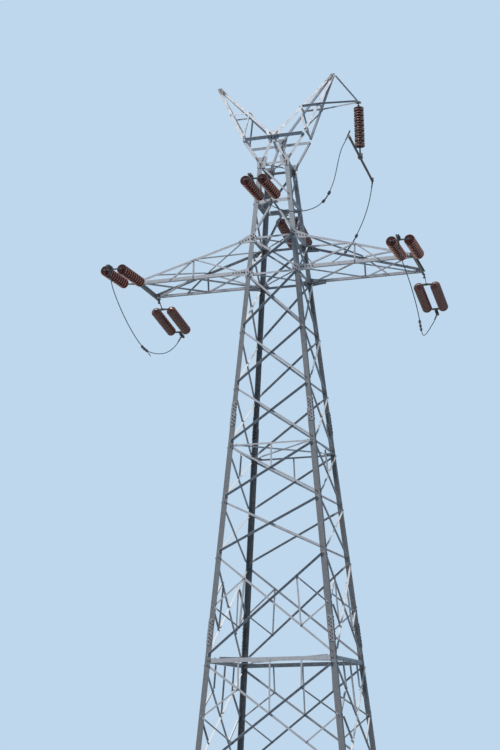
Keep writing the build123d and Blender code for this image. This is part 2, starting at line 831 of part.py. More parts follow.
middle_front_route = [
    (130, -2640, 14855), (215, -2590, 14640), (430, -2460, 14420), (690, -2305, 14310),
    (990, -2115, 14292), (1275, -1910, 14370), (1505, -1690, 14535), (1670, -1510, 14795),
    (1785, -1385, 15085), (1865, -1290, 15390), (1920, -1225, 15710), (1975, -1170, 16020),
    (2040, -1120, 16290), (2130, -1070, 16475), (2185, -1045, 16615),
]
middle_back_route = [
    (110, 2645, 14730), (200, 2600, 14555), (360, 2520, 14390), (600, 2410, 14290),
    (890, 2265, 14275), (1190, 2090, 14345), (1460, 1895, 14470), (1690, 1695, 14650),
    (1890, 1510, 14870), (2060, 1360, 15110), (2195, 1265, 15380), (2290, 1215, 15660),
    (2345, 1195, 15900), (2375, 1190, 16080),
]


def bend_radii(route):
    """Radius of the arc at each inner point: 0.45 of the shorter run, less the sharper the turn."""
    radii = []
    for before, here, after in zip(route, route[1:], route[2:]):
        first, second = Vector(*here) - Vector(*before), Vector(*after) - Vector(*here)
        turn = math.radians(first.get_angle(second))
        radii.append(0.45 * min(first.length, second.length) / math.tan(turn / 2))
    return radii


def make_jumper(route):
    """A round jumper along a route of straight runs joined by arcs."""
    radii = bend_radii(route)
    with BuildPart() as jumper:
        with BuildLine():
            path = FilletPolyline(*route, radius=radii)
        with BuildSketch(Plane(origin=path @ 0, z_dir=path % 0)):
            section = RegularPolygon(jumper_radius, jumper_sides)
        sweep()
    print("jumper length", round(path.length), "tightest bend", round(min(radii)),
          "volume share", round(jumper.part.volume / section.area / path.length, 4))
    return jumper


finish(make_jumper(left_route), "left_jumper")
finish(make_jumper(right_route), "right_jumper")
finish(make_jumper(middle_front_route), "middle_jumper_front")
finish(make_jumper(middle_back_route), "middle_jumper_back")

for side, name in ((-1, "left"), (1, "right")):
    finish(twin_strings(arm_frames[side]), f"{name}_insulators")
    route = left_route if side < 0 else right_route
    with BuildPart() as fittings:
        for frame, way, jumper in zip(arm_frames[side], (-1, 1), (route, route[::-1])):
            lay_fittings(frame, (side * string_x, way * (tip_beam_half + 10), waist_level - 60))
            lay_tongue(frame, jumper)
    finish(fittings, f"{name}_string_fittings")

finish(twin_strings(middle_frames), "middle_insulators")
with BuildPart() as middle_fittings:
    for frame, way, jumper in zip(middle_frames, (-1, 1), (middle_front_route, middle_back_route)):
        lay_fittings(frame, (0, way * (half(beam_level) + 220), beam_level - ring_width - 20))
        lay_tongue(frame, jumper)
finish(middle_fittings, "middle_string_fittings")

hanging_top = bracket_bottom - hook_drop
hanging_bottom = hanging_top - hanging_discs * disc_pitch
with BuildPart() as hanging_string:
    with Locations(Location((bracket_reach, 0, hanging_top), (180, 0, 0))):
        add(make_string(hanging_discs))
finish(hanging_string, "hanging_insulators")

with BuildPart() as hanging_hook:
    with BuildSketch(Plane.XY.offset(hanging_top)):
        with Locations((bracket_reach, 0)):
            Rectangle(yoke_thick, 60)
    extrude(amount=hook_drop)
finish(hanging_hook, "hanging_hook")

# The stiff pipe that holds the middle jumper off the tower, with its clamp and end lugs
pipe_run = Vector(*pipe_back) - Vector(*pipe_front)
pipe_level = pipe_front[2] - pipe_front[1] / pipe_run.Y * pipe_run.Z
with BuildPart() as jumper_pipe:
    with BuildSketch(Plane(origin=pipe_front, z_dir=pipe_run)):
        RegularPolygon(pipe_radius, round_sides)
    extrude(amount=pipe_run.length)
    for route in (middle_front_route[::-1], middle_back_route[::-1]):
        end, neighbour = Vector(*route[0]), Vector(*route[1])
        with BuildSketch(Plane(origin=end, z_dir=end - neighbour)):
            RegularPolygon(tongue_radius, round_sides)
        extrude(amount=pipe_lug * 3)
    with BuildSketch(Plane.XY.offset(pipe_level - pipe_radius)):
        with Locations((bracket_reach, 0)):
            Rectangle(2 * pipe_radius + 24, pipe_lug * 2)
    extrude(amount=pipe_radius * 3)
    with BuildSketch(Plane.XY.offset(pipe_level)):
        with Locations((bracket_reach, 0)):
            RegularPolygon(tongue_radius, round_sides)
    extrude(amount=hanging_bottom - pipe_level)
finish(jumper_pipe, "jumper_pipe")
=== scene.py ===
import math

import bmesh
import bpy
from mathutils import Matrix, Vector
from mathutils.bvhtree import BVHTree


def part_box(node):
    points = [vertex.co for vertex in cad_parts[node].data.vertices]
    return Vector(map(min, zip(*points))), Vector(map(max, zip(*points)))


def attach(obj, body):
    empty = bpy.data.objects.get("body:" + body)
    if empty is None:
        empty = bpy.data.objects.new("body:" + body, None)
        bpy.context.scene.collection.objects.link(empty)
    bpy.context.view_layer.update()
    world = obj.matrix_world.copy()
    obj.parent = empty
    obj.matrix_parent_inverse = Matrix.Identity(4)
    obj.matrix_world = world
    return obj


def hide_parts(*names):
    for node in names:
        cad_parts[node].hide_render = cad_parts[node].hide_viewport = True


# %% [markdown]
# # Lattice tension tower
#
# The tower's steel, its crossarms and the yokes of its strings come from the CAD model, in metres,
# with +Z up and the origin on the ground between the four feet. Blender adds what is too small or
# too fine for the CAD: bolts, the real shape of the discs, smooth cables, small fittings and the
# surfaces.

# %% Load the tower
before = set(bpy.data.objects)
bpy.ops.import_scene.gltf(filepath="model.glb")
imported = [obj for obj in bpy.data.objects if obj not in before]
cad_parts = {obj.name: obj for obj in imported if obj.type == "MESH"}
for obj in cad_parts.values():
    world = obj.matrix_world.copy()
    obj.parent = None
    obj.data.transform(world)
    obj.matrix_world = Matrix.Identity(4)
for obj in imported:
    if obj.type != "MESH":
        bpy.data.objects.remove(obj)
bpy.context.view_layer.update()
scene = bpy.context.scene

# %% [markdown]
# # Helpers for objects and nodes
#
# Objects, materials and node trees are made many times below, and these few functions keep that
# short. A node's input is either a plain value, which is set on its socket, or the output of
# another node, which is linked to it.

# %% Add objects, nodes and finishes
def add_object(name, data):
    """A new object in the scene."""
    thing = bpy.data.objects.new(name, data)
    scene.collection.objects.link(thing)
    return thing


def feed(tree, node, inputs):
    """Give a node's inputs their values, or link them to other nodes' outputs."""
    for key, value in inputs.items():
        if isinstance(value, bpy.types.NodeSocket):
            tree.links.new(value, node.inputs[key])
        else:
            node.inputs[key].default_value = value


def add_node(tree, kind, inputs=None, **settings):
    """A new node with its settings and its inputs."""
    node = tree.nodes.new(kind)
    for label, value in settings.items():
        setattr(node, label, value)
    feed(tree, node, inputs or {})
    return node


def blend_colour(tree, mask, first, second):
    """Mix two colours, each a colour or a socket, by a mask."""
    first, second = [(*tone, 1) if isinstance(tone, tuple) else tone for tone in (first, second)]
    inputs = {"Factor": mask, 6: first, 7: second}
    return add_node(tree, "ShaderNodeMix", inputs, data_type="RGBA").outputs[2]


def new_finish(name, metallic=0.0, roughness=0.5):
    """A material, its node tree and its Principled shader."""
    paint = bpy.data.materials.new(name)
    paint.use_nodes = True
    shader = paint.node_tree.nodes["Principled BSDF"]
    feed(paint.node_tree, shader, {"Metallic": metallic, "Roughness": roughness})
    return paint, paint.node_tree, shader


# %% [markdown]
# # Camera
#
# The tower was photographed from a low place in front of it and to its right, looking up. The
# camera's place and turn were solved together with the tower's sizes. Its three axes are worked
# out from a heading, a tilt and a small roll, and the lens from a focal length in picture heights.

# %% Camera
camera_place = Vector((9.705, -37.157, 1.284))
camera_heading, camera_tilt, camera_roll = -0.277, 0.238, -0.014
focal_share = 1499.2 / 750
camera_far = 400


def camera_axes(heading, tilt, roll):
    """Right, up and backward axes of a camera that looks along +Y when it isn't turned."""
    ahead = Vector((
        math.sin(heading) * math.cos(tilt), math.cos(heading) * math.cos(tilt), math.sin(tilt),
    ))
    level = Vector((math.cos(heading), -math.sin(heading), 0))
    above = level.cross(ahead)
    right = math.cos(roll) * level + math.sin(roll) * above
    up = math.cos(roll) * above - math.sin(roll) * level
    return right, up, -ahead


camera_data = bpy.data.cameras.new("camera")
camera_data.sensor_fit = "VERTICAL"
camera_data.lens = focal_share * camera_data.sensor_height
camera_data.clip_end = camera_far
camera = add_object("camera", camera_data)
turn = Matrix(camera_axes(camera_heading, camera_tilt, camera_roll)).transposed().to_4x4()
camera.matrix_world = Matrix.Translation(camera_place) @ turn
scene.camera = camera
print("lens", round(camera_data.lens, 2), "mm")

# %% [markdown]
# # Floor and light
#
# A steel tower out of doors is lit by the sun from one side and by the whole sky. A broad soft
# sun from the front and above, with a blue sky light around the tower, gives the same light and
# dark sides to its angle bars. The camera itself sees a plain pale floor and background.

# %% Floor, sun and background
floor_half = 90.0
floor_colour = (0.72, 0.72, 0.70)
floor_bounce = (0.11, 0.15, 0.17)
sun_strength = 3.6
sun_width = math.radians(9)
sun_colour = (1.0, 0.97, 0.92)
sun_turn = (math.radians(28), 0.0, math.radians(-34))
sky_strength = 0.23
sky_colour = (0.38, 0.66, 1.0, 1)
backdrop_colour = (0.52, 0.68, 0.84, 1)


def seen_rays(tree):
    """1 for the rays that show a thing to the camera, straight, mirrored or through glass."""
    rays = add_node(tree, "ShaderNodeLightPath")
    seen = rays.outputs["Is Camera Ray"]
    for name in ("Is Glossy Ray", "Is Transmission Ray"):
        either = {0: seen, 1: rays.outputs[name]}
        seen = add_node(tree, "ShaderNodeMath", either, operation="MAXIMUM").outputs[0]
    return seen


def add_floor():
    """A large square on the ground, pale to the camera, that throws little light back up."""
    mesh = bpy.data.meshes.new("floor")
    signs = ((-1, -1), (1, -1), (1, 1), (-1, 1))
    mesh.from_pydata([(x * floor_half, y * floor_half, 0) for x, y in signs], [], [(0, 1, 2, 3)])
    paint, tree, shader = new_finish("floor_paint", roughness=0.9)
    tone = blend_colour(tree, seen_rays(tree), floor_bounce, floor_colour)
    feed(tree, shader, {"Base Color": tone})
    mesh.materials.append(paint)
    floor = add_object("floor", mesh)


def add_sun():
    """A broad soft sun."""
    data = bpy.data.lights.new("sun", "SUN")
    data.energy, data.angle, data.color = sun_strength, sun_width, sun_colour
    add_object("sun", data).rotation_euler = sun_turn


def make_world():
    """Sky light for the tower, and a plain backdrop wherever the camera sees past it."""
    world = bpy.data.worlds.new("world")
    world.use_nodes = True
    tree = world.node_tree
    tree.nodes.clear()
    light = add_node(tree, "ShaderNodeBackground", {"Color": sky_colour, "Strength": sky_strength})
    backdrop = add_node(tree, "ShaderNodeBackground", {"Color": backdrop_colour})
    shaders = {"Fac": seen_rays(tree), 1: light.outputs[0], 2: backdrop.outputs[0]}
    mix = add_node(tree, "ShaderNodeMixShader", shaders)
    add_node(tree, "ShaderNodeOutputWorld", {"Surface": mix.outputs[0]})
    scene.world = world


add_floor()
add_sun()
make_world()
scene.view_settings.view_transform = "Standard"
print("sun", sun_strength, "sky", sky_strength)

# %% [markdown]
# # Shared surface effects
#
# Weathered zinc shows the same things on every member: cloudy patches where the zinc has dulled
# more, rain streaks that run down, and a little rust in small blooms. Each effect is a node group
# that gives only a mask, so every finish can use it with its own scale and amount.

# %% Node group helpers
def new_group(name, inputs, output):
    """An empty shader group with float inputs that have defaults, and one float output."""
    tree = bpy.data.node_groups.new(name, "ShaderNodeTree")
    for label, value in inputs.items():
        socket = tree.interface.new_socket(label, in_out="INPUT", socket_type="NodeSocketFloat")
        socket.default_value = value
    tree.interface.new_socket(output, in_out="OUTPUT", socket_type="NodeSocketFloat")
    return tree, add_node(tree, "NodeGroupInput").outputs, add_node(tree, "NodeGroupOutput")


def range_of(tree, value, low, high, start=0.0, end=1.0):
    """Stretch a value so that low gives start and high gives end."""
    inputs = {"Value": value, "From Min": low, "From Max": high, "To Min": start, "To Max": end}
    return add_node(tree, "ShaderNodeMapRange", inputs).outputs["Result"]


def times(tree, first, second):
    """The product of two values."""
    return add_node(tree, "ShaderNodeMath", {0: first, 1: second}, operation="MULTIPLY").outputs[0]


def scaled(tree, vector, size):
    """A vector times a size."""
    inputs = {0: vector, "Scale": size}
    return add_node(tree, "ShaderNodeVectorMath", inputs, operation="SCALE").outputs[0]


def scaled_place(tree, size, stretch=(1, 1, 1)):
    """Object coordinates, stretched and then multiplied by a size socket."""
    inputs = {0: add_node(tree, "ShaderNodeTexCoord").outputs["Object"], 1: stretch}
    shape = add_node(tree, "ShaderNodeVectorMath", inputs, operation="MULTIPLY")
    return scaled(tree, shape.outputs[0], size)


# %% Clouds, streaks, rust and zinc grain
def noise_layer(tree, place, size, detail, roughness, low, high):
    """Noise over a place, stretched so that low gives 0 and high gives 1."""
    inputs = {"Vector": scaled(tree, place, size), "Detail": detail, "Roughness": roughness}
    noise = add_node(tree, "ShaderNodeTexNoise", inputs)
    return range_of(tree, noise.outputs["Fac"], low, high)


def make_mask(name, scale, layers, stretch=(1, 1, 1)):
    """A mask from one noise layer, or from the product of two."""
    tree, start, end = new_group(name, {"Scale": scale, "Amount": 1.0}, "Mask")
    place = scaled_place(tree, start["Scale"], stretch)
    mask = noise_layer(tree, place, *layers[0])
    for layer in layers[1:]:
        mask = times(tree, mask, noise_layer(tree, place, *layer))
    feed(tree, end, {"Mask": times(tree, mask, start["Amount"])})
    return tree


def make_spangle():
    """Crystal cells of galvanised zinc, as a value that differs from cell to cell."""
    tree, start, end = new_group("zinc_spangle", {"Scale": 55.0}, "Cell")
    place = scaled_place(tree, start["Scale"])
    cells = add_node(tree, "ShaderNodeTexVoronoi", {"Vector": place})
    split = add_node(tree, "ShaderNodeSeparateColor", {"Color": cells.outputs["Color"]})
    feed(tree, end, {"Cell": split.outputs["Red"]})
    return tree


# Each layer is a size, the noise's detail and roughness, and the range that becomes 0 to 1.
effects = {
    "clouds": make_mask("zinc_clouds", 3.0, [(1.0, 5, 0.55, 0.36, 0.66)]),
    "streaks": make_mask("rain_streaks", 26.0, [(1.0, 3, 0.6, 0.52, 0.72)], (1, 1, 0.09)),
    "rust": make_mask("rust_blooms", 9.0, [(1.0, 2, 0.55, 0.55, 0.75), (6.5, 6, 0.7, 0.5, 0.62)]),
    "spangle": make_spangle(),
}
print("effects", sorted(effects))

# %% [markdown]
# # Finishes
#
# Galvanised steel is a dull blue-grey metal, bright where it faces the light and nearly navy in
# shade. The legs are darker than the bars up to about 13 m and paler above, the sides of the bars
# that face the sky carry a paler painted highlight, and the horns end in rusty tips. Each finish
# mixes its tones with the shared masks, and a small bump from the zinc grain keeps the wide flats
# from looking smooth.

# %% Build the steel finishes
steel_metallic = 0.12
rust_brown = (0.20, 0.085, 0.035)
sparkle_gain, sparkle_range = 1.35, (-0.4, 2.0)
# The second range is of the upward part of the normal, over which the painted highlight on
# sky-facing sides fades in.
wear_range, sky_side_highlight_range = (0.5, 0.7), (0.45, 0.70)
grain_bump, grain_depth = 0.25, 0.002


def use_effect(tree, key, **values):
    """A shared effect's output in a material, with its own values."""
    return add_node(tree, "ShaderNodeGroup", values, node_tree=effects[key]).outputs[0]


def upward_part(tree, kind, output):
    """The Z part of a vector that a node gives."""
    vector = add_node(tree, kind).outputs[output]
    return add_node(tree, "ShaderNodeSeparateXYZ", {0: vector}).outputs["Z"]


def zinc_finish(name, bright, dull, stain, rust, above=None, sky_side_highlight=None):
    """Weathered galvanised steel; above may give a height, a band in metres and another tone,
    and the last argument a paler tone for the sides that face the sky, a painted highlight."""
    paint, tree, shader = new_finish(name, steel_metallic)
    clouds = use_effect(tree, "clouds", Scale=2.6, Amount=1.0)
    grain = use_effect(tree, "spangle", Scale=60.0)
    rain = use_effect(tree, "streaks", Scale=24.0, Amount=0.5)
    bloom = use_effect(tree, "rust", Scale=7.0, Amount=rust)
    tone = blend_colour(tree, clouds, bright, dull)
    if above:
        height, band, other = above
        level = upward_part(tree, "ShaderNodeTexCoord", "Object")
        tone = blend_colour(tree, range_of(tree, level, height, height + band), tone, other)
    sparkle = range_of(tree, grain, *sparkle_range)
    tone = blend_colour(tree, sparkle, tone, tuple(sparkle_gain * part for part in bright))
    # Painted highlight: the sides that face the sky get a paler tone.
    if sky_side_highlight:
        facing = upward_part(tree, "ShaderNodeNewGeometry", "True Normal")
        tone = blend_colour(tree, range_of(tree, facing, *sky_side_highlight_range), tone, sky_side_highlight)
    tone = blend_colour(tree, rain, tone, stain)
    tone = blend_colour(tree, bloom, tone, rust_brown)
    relief = {"Strength": grain_bump, "Distance": grain_depth, "Height": grain}
    feed(tree, shader, {
        "Base Color": tone,
        "Roughness": range_of(tree, clouds, 0, 1, *wear_range),
        "Normal": add_node(tree, "ShaderNodeBump", relief).outputs["Normal"],
    })
    return paint


# Each steel has a bright, a dull and a stained tone, and its share of rust.
zinc_tones = {
    "leg": ((0.175, 0.183, 0.200), (0.13, 0.130, 0.138), (0.09, 0.078, 0.075), 0.5),
    "bar": ((0.42, 0.425, 0.46), (0.29, 0.295, 0.33), (0.17, 0.165, 0.18), 0.35),
    "plate": ((0.30, 0.30, 0.32), (0.20, 0.20, 0.22), (0.12, 0.11, 0.11), 0.5),
    "peak": ((0.54, 0.55, 0.59), (0.40, 0.41, 0.46), (0.25, 0.25, 0.27), 0.35),
    # The tip beams' dark tones are painted shade, for their sides that face down and away from the
    # sun.
    "beam": ((0.17, 0.165, 0.16), (0.10, 0.10, 0.10), (0.07, 0.055, 0.05), 0.9),
    "bolt": ((0.085, 0.085, 0.095), (0.05, 0.05, 0.06), (0.045, 0.03, 0.028), 0.9),
    "iron": ((0.105, 0.10, 0.105), (0.06, 0.058, 0.062), (0.05, 0.036, 0.032), 0.9),
}
zinc_extras = {
    "leg": {"above": (12.900, 1.600, (0.36, 0.38, 0.43))},
    # The bars' paler tone on their sky-facing sides is a painted highlight.
    "bar": {"sky_side_highlight": (0.64, 0.64, 0.65)},
    "peak": {"above": (18.690, 0.060, (0.050, 0.030, 0.025))},
}
zinc = {
    key: zinc_finish(f"{key}_zinc", *tones, **zinc_extras.get(key, {}))
    for key, tones in zinc_tones.items()
}
print("steel finishes", sorted(zinc))


# %% Give each CAD node its finish
def finish_for(name):
    """The finish of a CAD node."""
    if name in ("leg_splices", "base_shoes"):
        return zinc["plate"]
    if name.startswith("leg_"):
        return zinc["leg"]
    # The tip beams get the darker finish whose tones are painted shade.
    if name.endswith("tip_beam"):
        return zinc["beam"]
    if name == "peak_frame" or name.endswith("horn"):
        return zinc["peak"]
    if name.endswith("fittings") or name in ("hanging_hook", "jumper_pipe"):
        return zinc["iron"]
    return zinc["bar"]


for name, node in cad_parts.items():
    materials = node.data.materials
    if not materials:
        materials.append(finish_for(name))
    for index in range(len(materials)):
        materials[index] = finish_for(name)
print("coated nodes", len(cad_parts))

# %% [markdown]
# # Jumpers
#
# Where the line stops at the strings, a loose stranded cable carries the current past the tower.
# It hangs from clamp to clamp under its own weight, so it is one smooth curve: a NURBS spline
# with the points of the CAD route as its control points, and a round section.

# %% Jumper routes and curves
jumper_radius = 0.012
lug_x = 3.745
# Both crossarm jumpers pass the same places along Y: Y, left Z, right sway along X and right Z.
arm_jumper_points = [
    (-2.820, 12.895, 0, 12.895), (-2.750, 12.745, 0, 12.745), (-2.650, 12.600, 0.023, 12.590),
    (-2.460, 12.445, 0.060, 12.420), (-2.210, 12.280, 0.097, 12.235),
    (-1.930, 12.120, 0.122, 12.052), (-1.630, 11.970, 0.134, 11.882),
    (-1.310, 11.835, 0.132, 11.731), (-0.980, 11.720, 0.117, 11.602),
    (-0.640, 11.625, 0.090, 11.497), (-0.290, 11.565, 0.055, 11.432),
    (0.060, 11.560, 0.016, 11.425), (0.410, 11.600, -0.023, 11.468),
    (0.760, 11.665, -0.058, 11.540), (1.100, 11.745, -0.085, 11.632),
    (1.430, 11.845, -0.100, 11.746), (1.740, 11.965, -0.102, 11.884),
    (2.030, 12.100, -0.092, 12.039), (2.290, 12.245, -0.068, 12.207),
    (2.520, 12.399, -0.023, 12.388), (2.690, 12.540, -0.008, 12.534),
]
jumper_routes = {
    "left_jumper": [(-lug_x, y, z) for y, z, _, _ in arm_jumper_points],
    "right_jumper": [(lug_x + sway, y, z) for y, _, sway, z in arm_jumper_points],
    "middle_jumper_front": [
        (0.130, -2.640, 14.855), (0.215, -2.590, 14.640), (0.430, -2.460, 14.420),
        (0.690, -2.305, 14.310), (0.990, -2.115, 14.292), (1.275, -1.910, 14.370),
        (1.505, -1.690, 14.535), (1.670, -1.510, 14.795), (1.785, -1.385, 15.085),
        (1.865, -1.290, 15.390), (1.920, -1.225, 15.710), (1.975, -1.170, 16.020),
        (2.040, -1.120, 16.290), (2.130, -1.070, 16.475), (2.185, -1.045, 16.615),
    ],
    "middle_jumper_back": [
        (0.110, 2.645, 14.730), (0.200, 2.600, 14.555), (0.360, 2.520, 14.390),
        (0.600, 2.410, 14.290), (0.890, 2.265, 14.275), (1.190, 2.090, 14.345),
        (1.460, 1.895, 14.470), (1.690, 1.695, 14.650), (1.890, 1.510, 14.870),
        (2.060, 1.360, 15.110), (2.195, 1.265, 15.380), (2.290, 1.215, 15.660),
        (2.345, 1.195, 15.900), (2.375, 1.190, 16.080),
    ],
}


def make_cable_finish():
    """Dull aluminium strands, darker in patches."""
    paint, tree, shader = new_finish("stranded_cable", metallic=0.55)
    clouds = use_effect(tree, "clouds", Scale=9.0, Amount=1.0)
    tone = blend_colour(tree, clouds, (0.11, 0.12, 0.14), (0.055, 0.06, 0.07))
    feed(tree, shader, {"Base Color": tone})
    return paint


def cable_curve(name, points, radius):
    """A smooth round cable along a list of control points."""
    data = bpy.data.curves.new(name, "CURVE")
    data.dimensions = "3D"
    spline = data.splines.new("NURBS")
    spline.points.add(len(points) - 1)
    for place, point in zip(points, spline.points):
        point.co = (*place, 1)
    spline.order_u = 3
    spline.use_endpoint_u = True
    spline.resolution_u = 8
    data.bevel_depth = radius
    data.bevel_resolution = 3
    data.use_fill_caps = True
    data.materials.append(cable_finish)
    return add_object(name, data)


def spline_points(curve):
    """Points along a curve's own line, read from a copy that has no bevel."""
    bare = add_object("bare_line", curve.data.copy())
    bare.data.bevel_depth = 0
    bpy.context.view_layer.update()
    held = bare.evaluated_get(bpy.context.evaluated_depsgraph_get())
    mesh = bpy.data.meshes.new_from_object(held)
    points = [vertex.co.copy() for vertex in mesh.vertices]
    bpy.data.objects.remove(bare)
    bpy.data.meshes.remove(mesh)
    return points


def run_length(points):
    """Length of a line through points."""
    return sum((after - before).length for before, after in zip(points, points[1:]))


cable_finish = make_cable_finish()
jumpers = {
    name: cable_curve(f"{name}_cable", route, jumper_radius)
    for name, route in jumper_routes.items()
}
jumper_lines = {name: spline_points(curve) for name, curve in jumpers.items()}
for name, line in jumper_lines.items():
    print(name, "length", round(run_length(line), 3), "m")

for name, curve in jumpers.items():
    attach(curve, "root")
    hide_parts(name)
print("declared cords", len(jumpers))

# %% [markdown]
# # Repeated pieces
#
# A tower has thousands of alike small things: bolts, discs, caps. Geometry Nodes put a short chain
# of copies of one shape on every vertex of a small mesh, turned the way that the vertex says. The
# tree has named inputs, so the sizes stay real ones, and ends in Realize Instances and Set
# Material. A bolt is a chain of one, and an insulator string is a chain of ten discs.

# %% The tree that repeats a shape
def make_repeat_tree():
    """A tree that strings copies of a shape out along Z from every turned point."""
    tree = bpy.data.node_groups.new("repeated_shapes", "GeometryNodeTree")
    for label, kind in (
        ("Geometry", "Geometry"), ("Shape", "Object"), ("Count", "Int"),
        ("Pitch", "Float"), ("Material", "Material"),
    ):
        tree.interface.new_socket(label, in_out="INPUT", socket_type=f"NodeSocket{kind}")
    tree.interface.new_socket("Geometry", in_out="OUTPUT", socket_type="NodeSocketGeometry")
    start = add_node(tree, "NodeGroupInput").outputs
    step = add_node(tree, "ShaderNodeCombineXYZ", {"Z": start["Pitch"]})
    line = add_node(tree, "GeometryNodeMeshLine", {
        "Count": start["Count"], "Offset": step.outputs[0]})
    shape = add_node(tree, "GeometryNodeObjectInfo", {"Object": start["Shape"]})
    chain = add_node(tree, "GeometryNodeInstanceOnPoints", {
        "Points": line.outputs["Mesh"], "Instance": shape.outputs["Geometry"]})
    turn = add_node(tree, "GeometryNodeInputNamedAttribute", data_type="QUATERNION")
    feed(tree, turn, {"Name": "turn"})
    copies = add_node(tree, "GeometryNodeInstanceOnPoints", {
        "Points": start["Geometry"], "Instance": chain.outputs[0],
        "Rotation": turn.outputs["Attribute"]})
    real = add_node(tree, "GeometryNodeRealizeInstances", {0: copies.outputs[0]})
    paint = add_node(tree, "GeometryNodeSetMaterial", {
        "Geometry": real.outputs[0], "Material": start["Material"]})
    add_node(tree, "NodeGroupOutput", {"Geometry": paint.outputs[0]})
    return tree


repeat_tree = make_repeat_tree()
print("tree nodes", len(repeat_tree.nodes))


# %% Grow a piece from a list of places
def grow(name, places, shape, material, count=1, pitch=0.0):
    """Repeat a shape on a mesh of turned points and keep the result as a plain mesh."""
    mesh = bpy.data.meshes.new(name)
    mesh.from_pydata([place.to_translation() for place in places], [], [])
    turns = mesh.attributes.new("turn", "QUATERNION", "POINT")
    for item, place in zip(turns.data, places):
        item.value = place.to_quaternion()
    piece = add_object(name, mesh)
    modifier = piece.modifiers.new("repeat", "NODES")
    modifier.node_group = repeat_tree
    values = {"Shape": shape, "Material": material, "Count": count, "Pitch": pitch}
    for socket in repeat_tree.interface.items_tree:
        if socket.in_out == "INPUT" and socket.name in values:
            modifier[socket.identifier] = values[socket.name]
    held = piece.evaluated_get(bpy.context.evaluated_depsgraph_get())
    result = bpy.data.meshes.new_from_object(held)
    piece.modifiers.remove(modifier)
    piece.data = result
    result.name = name
    if "turn" in result.attributes:
        result.attributes.remove(result.attributes["turn"])
    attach(piece, "root")
    return piece


def axis_frame(origin, along, across=(1, 0, 0)):
    """A place whose Z runs along a direction and whose X stays near another."""
    z_axis = Vector(along).normalized()
    x_axis = (Vector(across) - z_axis * z_axis.dot(Vector(across))).normalized()
    turned = Matrix((x_axis, z_axis.cross(x_axis), z_axis)).transposed().to_4x4()
    return Matrix.Translation(Vector(origin)) @ turned


# %% Draw small solids
def round_outline(radius, sides):
    """Corners of a regular outline round the origin."""
    angles = [2 * math.pi * step / sides for step in range(sides)]
    return [(radius * math.cos(angle), radius * math.sin(angle)) for angle in angles]


def skin(shape, rings, smooth=False, ends=True):
    """Faces from ring to ring of corners, and over both ends; a ring may be a single corner."""
    sides = max(len(ring) for ring in rings)
    for low, high in zip(rings, rings[1:]):
        for step in range(sides):
            ahead = (step + 1) % sides
            corners = [ring[at % len(ring)] for ring, at in (
                (low, step), (low, ahead), (high, ahead), (high, step))]
            shape.faces.new(list(dict.fromkeys(corners))).smooth = smooth
    if ends:
        shape.faces.new(rings[0][::-1])
        shape.faces.new(rings[-1])


def prism(shape, outline, low, high, place=Matrix()):
    """A closed prism over an outline, between two heights of a place."""
    skin(shape, [
        [shape.verts.new(place @ Vector((x, y, height))) for x, y in outline]
        for height in (low, high)
    ])


def block(shape, centre, size, place=Matrix()):
    """A rectangular block round a centre, in a place."""
    width, depth, height = [length / 2 for length in size]
    outline = [(-width, -depth), (width, -depth), (width, depth), (-width, depth)]
    prism(shape, outline, -height, height, place @ Matrix.Translation(Vector(centre)))


def rod(shape, start, end, radius, sides=8, place=Matrix()):
    """A round rod between two points of a place."""
    start, end = place @ Vector(start), place @ Vector(end)
    run = end - start
    across = (1, 0, 0) if abs(run.normalized().x) < 0.9 else (0, 1, 0)
    prism(shape, round_outline(radius, sides), 0.0, run.length, axis_frame(start, run, across))


def nut_pin(shape, place, x, z, run, radius, nut_run, nut_radius):
    """A pin along Y with a nut on it, each from one distance to another."""
    rod(shape, (x, run[0], z), (x, run[1], z), radius, 8, place)
    rod(shape, (x, nut_run[0], z), (x, nut_run[1], z), nut_radius, 6, place)


def to_mesh(name, shape):
    """The mesh of a drawn shape."""
    mesh = bpy.data.meshes.new(name)
    shape.to_mesh(mesh)
    shape.free()
    return mesh


def keep_piece(name, shape, finish):
    """Turn a drawn shape into a piece of the tower."""
    bmesh.ops.recalc_face_normals(shape, faces=shape.faces)
    mesh = to_mesh(name, shape)
    mesh.materials.append(finish)
    piece = add_object(name, mesh)
    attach(piece, "root")
    print(name, "faces", len(mesh.polygons))


# %% [markdown]
# # Bolts
#
# Every joint of the tower is bolted, and from the ground the bolts show as rows of dark dots. A
# bolt is two small shapes: a washer and a hexagon head outside, and a washer, a nut and the end of
# the thread on the other side of the plates. M16 bolts hold the bars; M20 bolts hold the plates.
# Their places are worked out on each leaning side of the tower, from the same sizes as its bars.

# %% Places on the sides of the tower
base_half, top_half = 1.930, 0.425
bay_levels = [3.200, 5.750, 7.150, 8.580, 10.140, 11.690, 13.240]
ring_level, mid_level, waist_level = bay_levels[0], bay_levels[3], bay_levels[-1]
arm_top_level, beam_level, head_level, tie_level = 14.270, 15.330, 16.420, 17.210
taper = (base_half - top_half) / head_level
face_slope = math.hypot(1, taper)
leg_thick, chord_thick, bar_thick = 0.012, 0.008, 0.006
gusset_thick, splice_thick, lug_thick = 0.008, 0.010, 0.010
leg_gauge = 0.070
four_corners = [(x, y) for x in (-1, 1) for y in (-1, 1)]
bolt_places = {"lower": [], "body": [], "arm": [], "peak": [], "heavy": []}


def half(level):
    """Half the tower's width at a level."""
    return base_half - taper * level


def corner(level, hand, inset=leg_gauge):
    """A point beside a leg in a side's own plane; hand is -1 at the left leg, 1 at the right."""
    return Vector((hand * (half(level) - inset), level * face_slope))


def side_frame(turn, reach, level, lean):
    """A leaning side as a place: X runs across it, Y up it and Z out of it."""
    angle = math.radians(turn)
    outward = Vector((math.sin(angle), -math.cos(angle), 0))
    foot = outward * reach + Vector((0, 0, level))
    return axis_frame(foot, outward + Vector((0, 0, lean)), (math.cos(angle), math.sin(angle), 0))


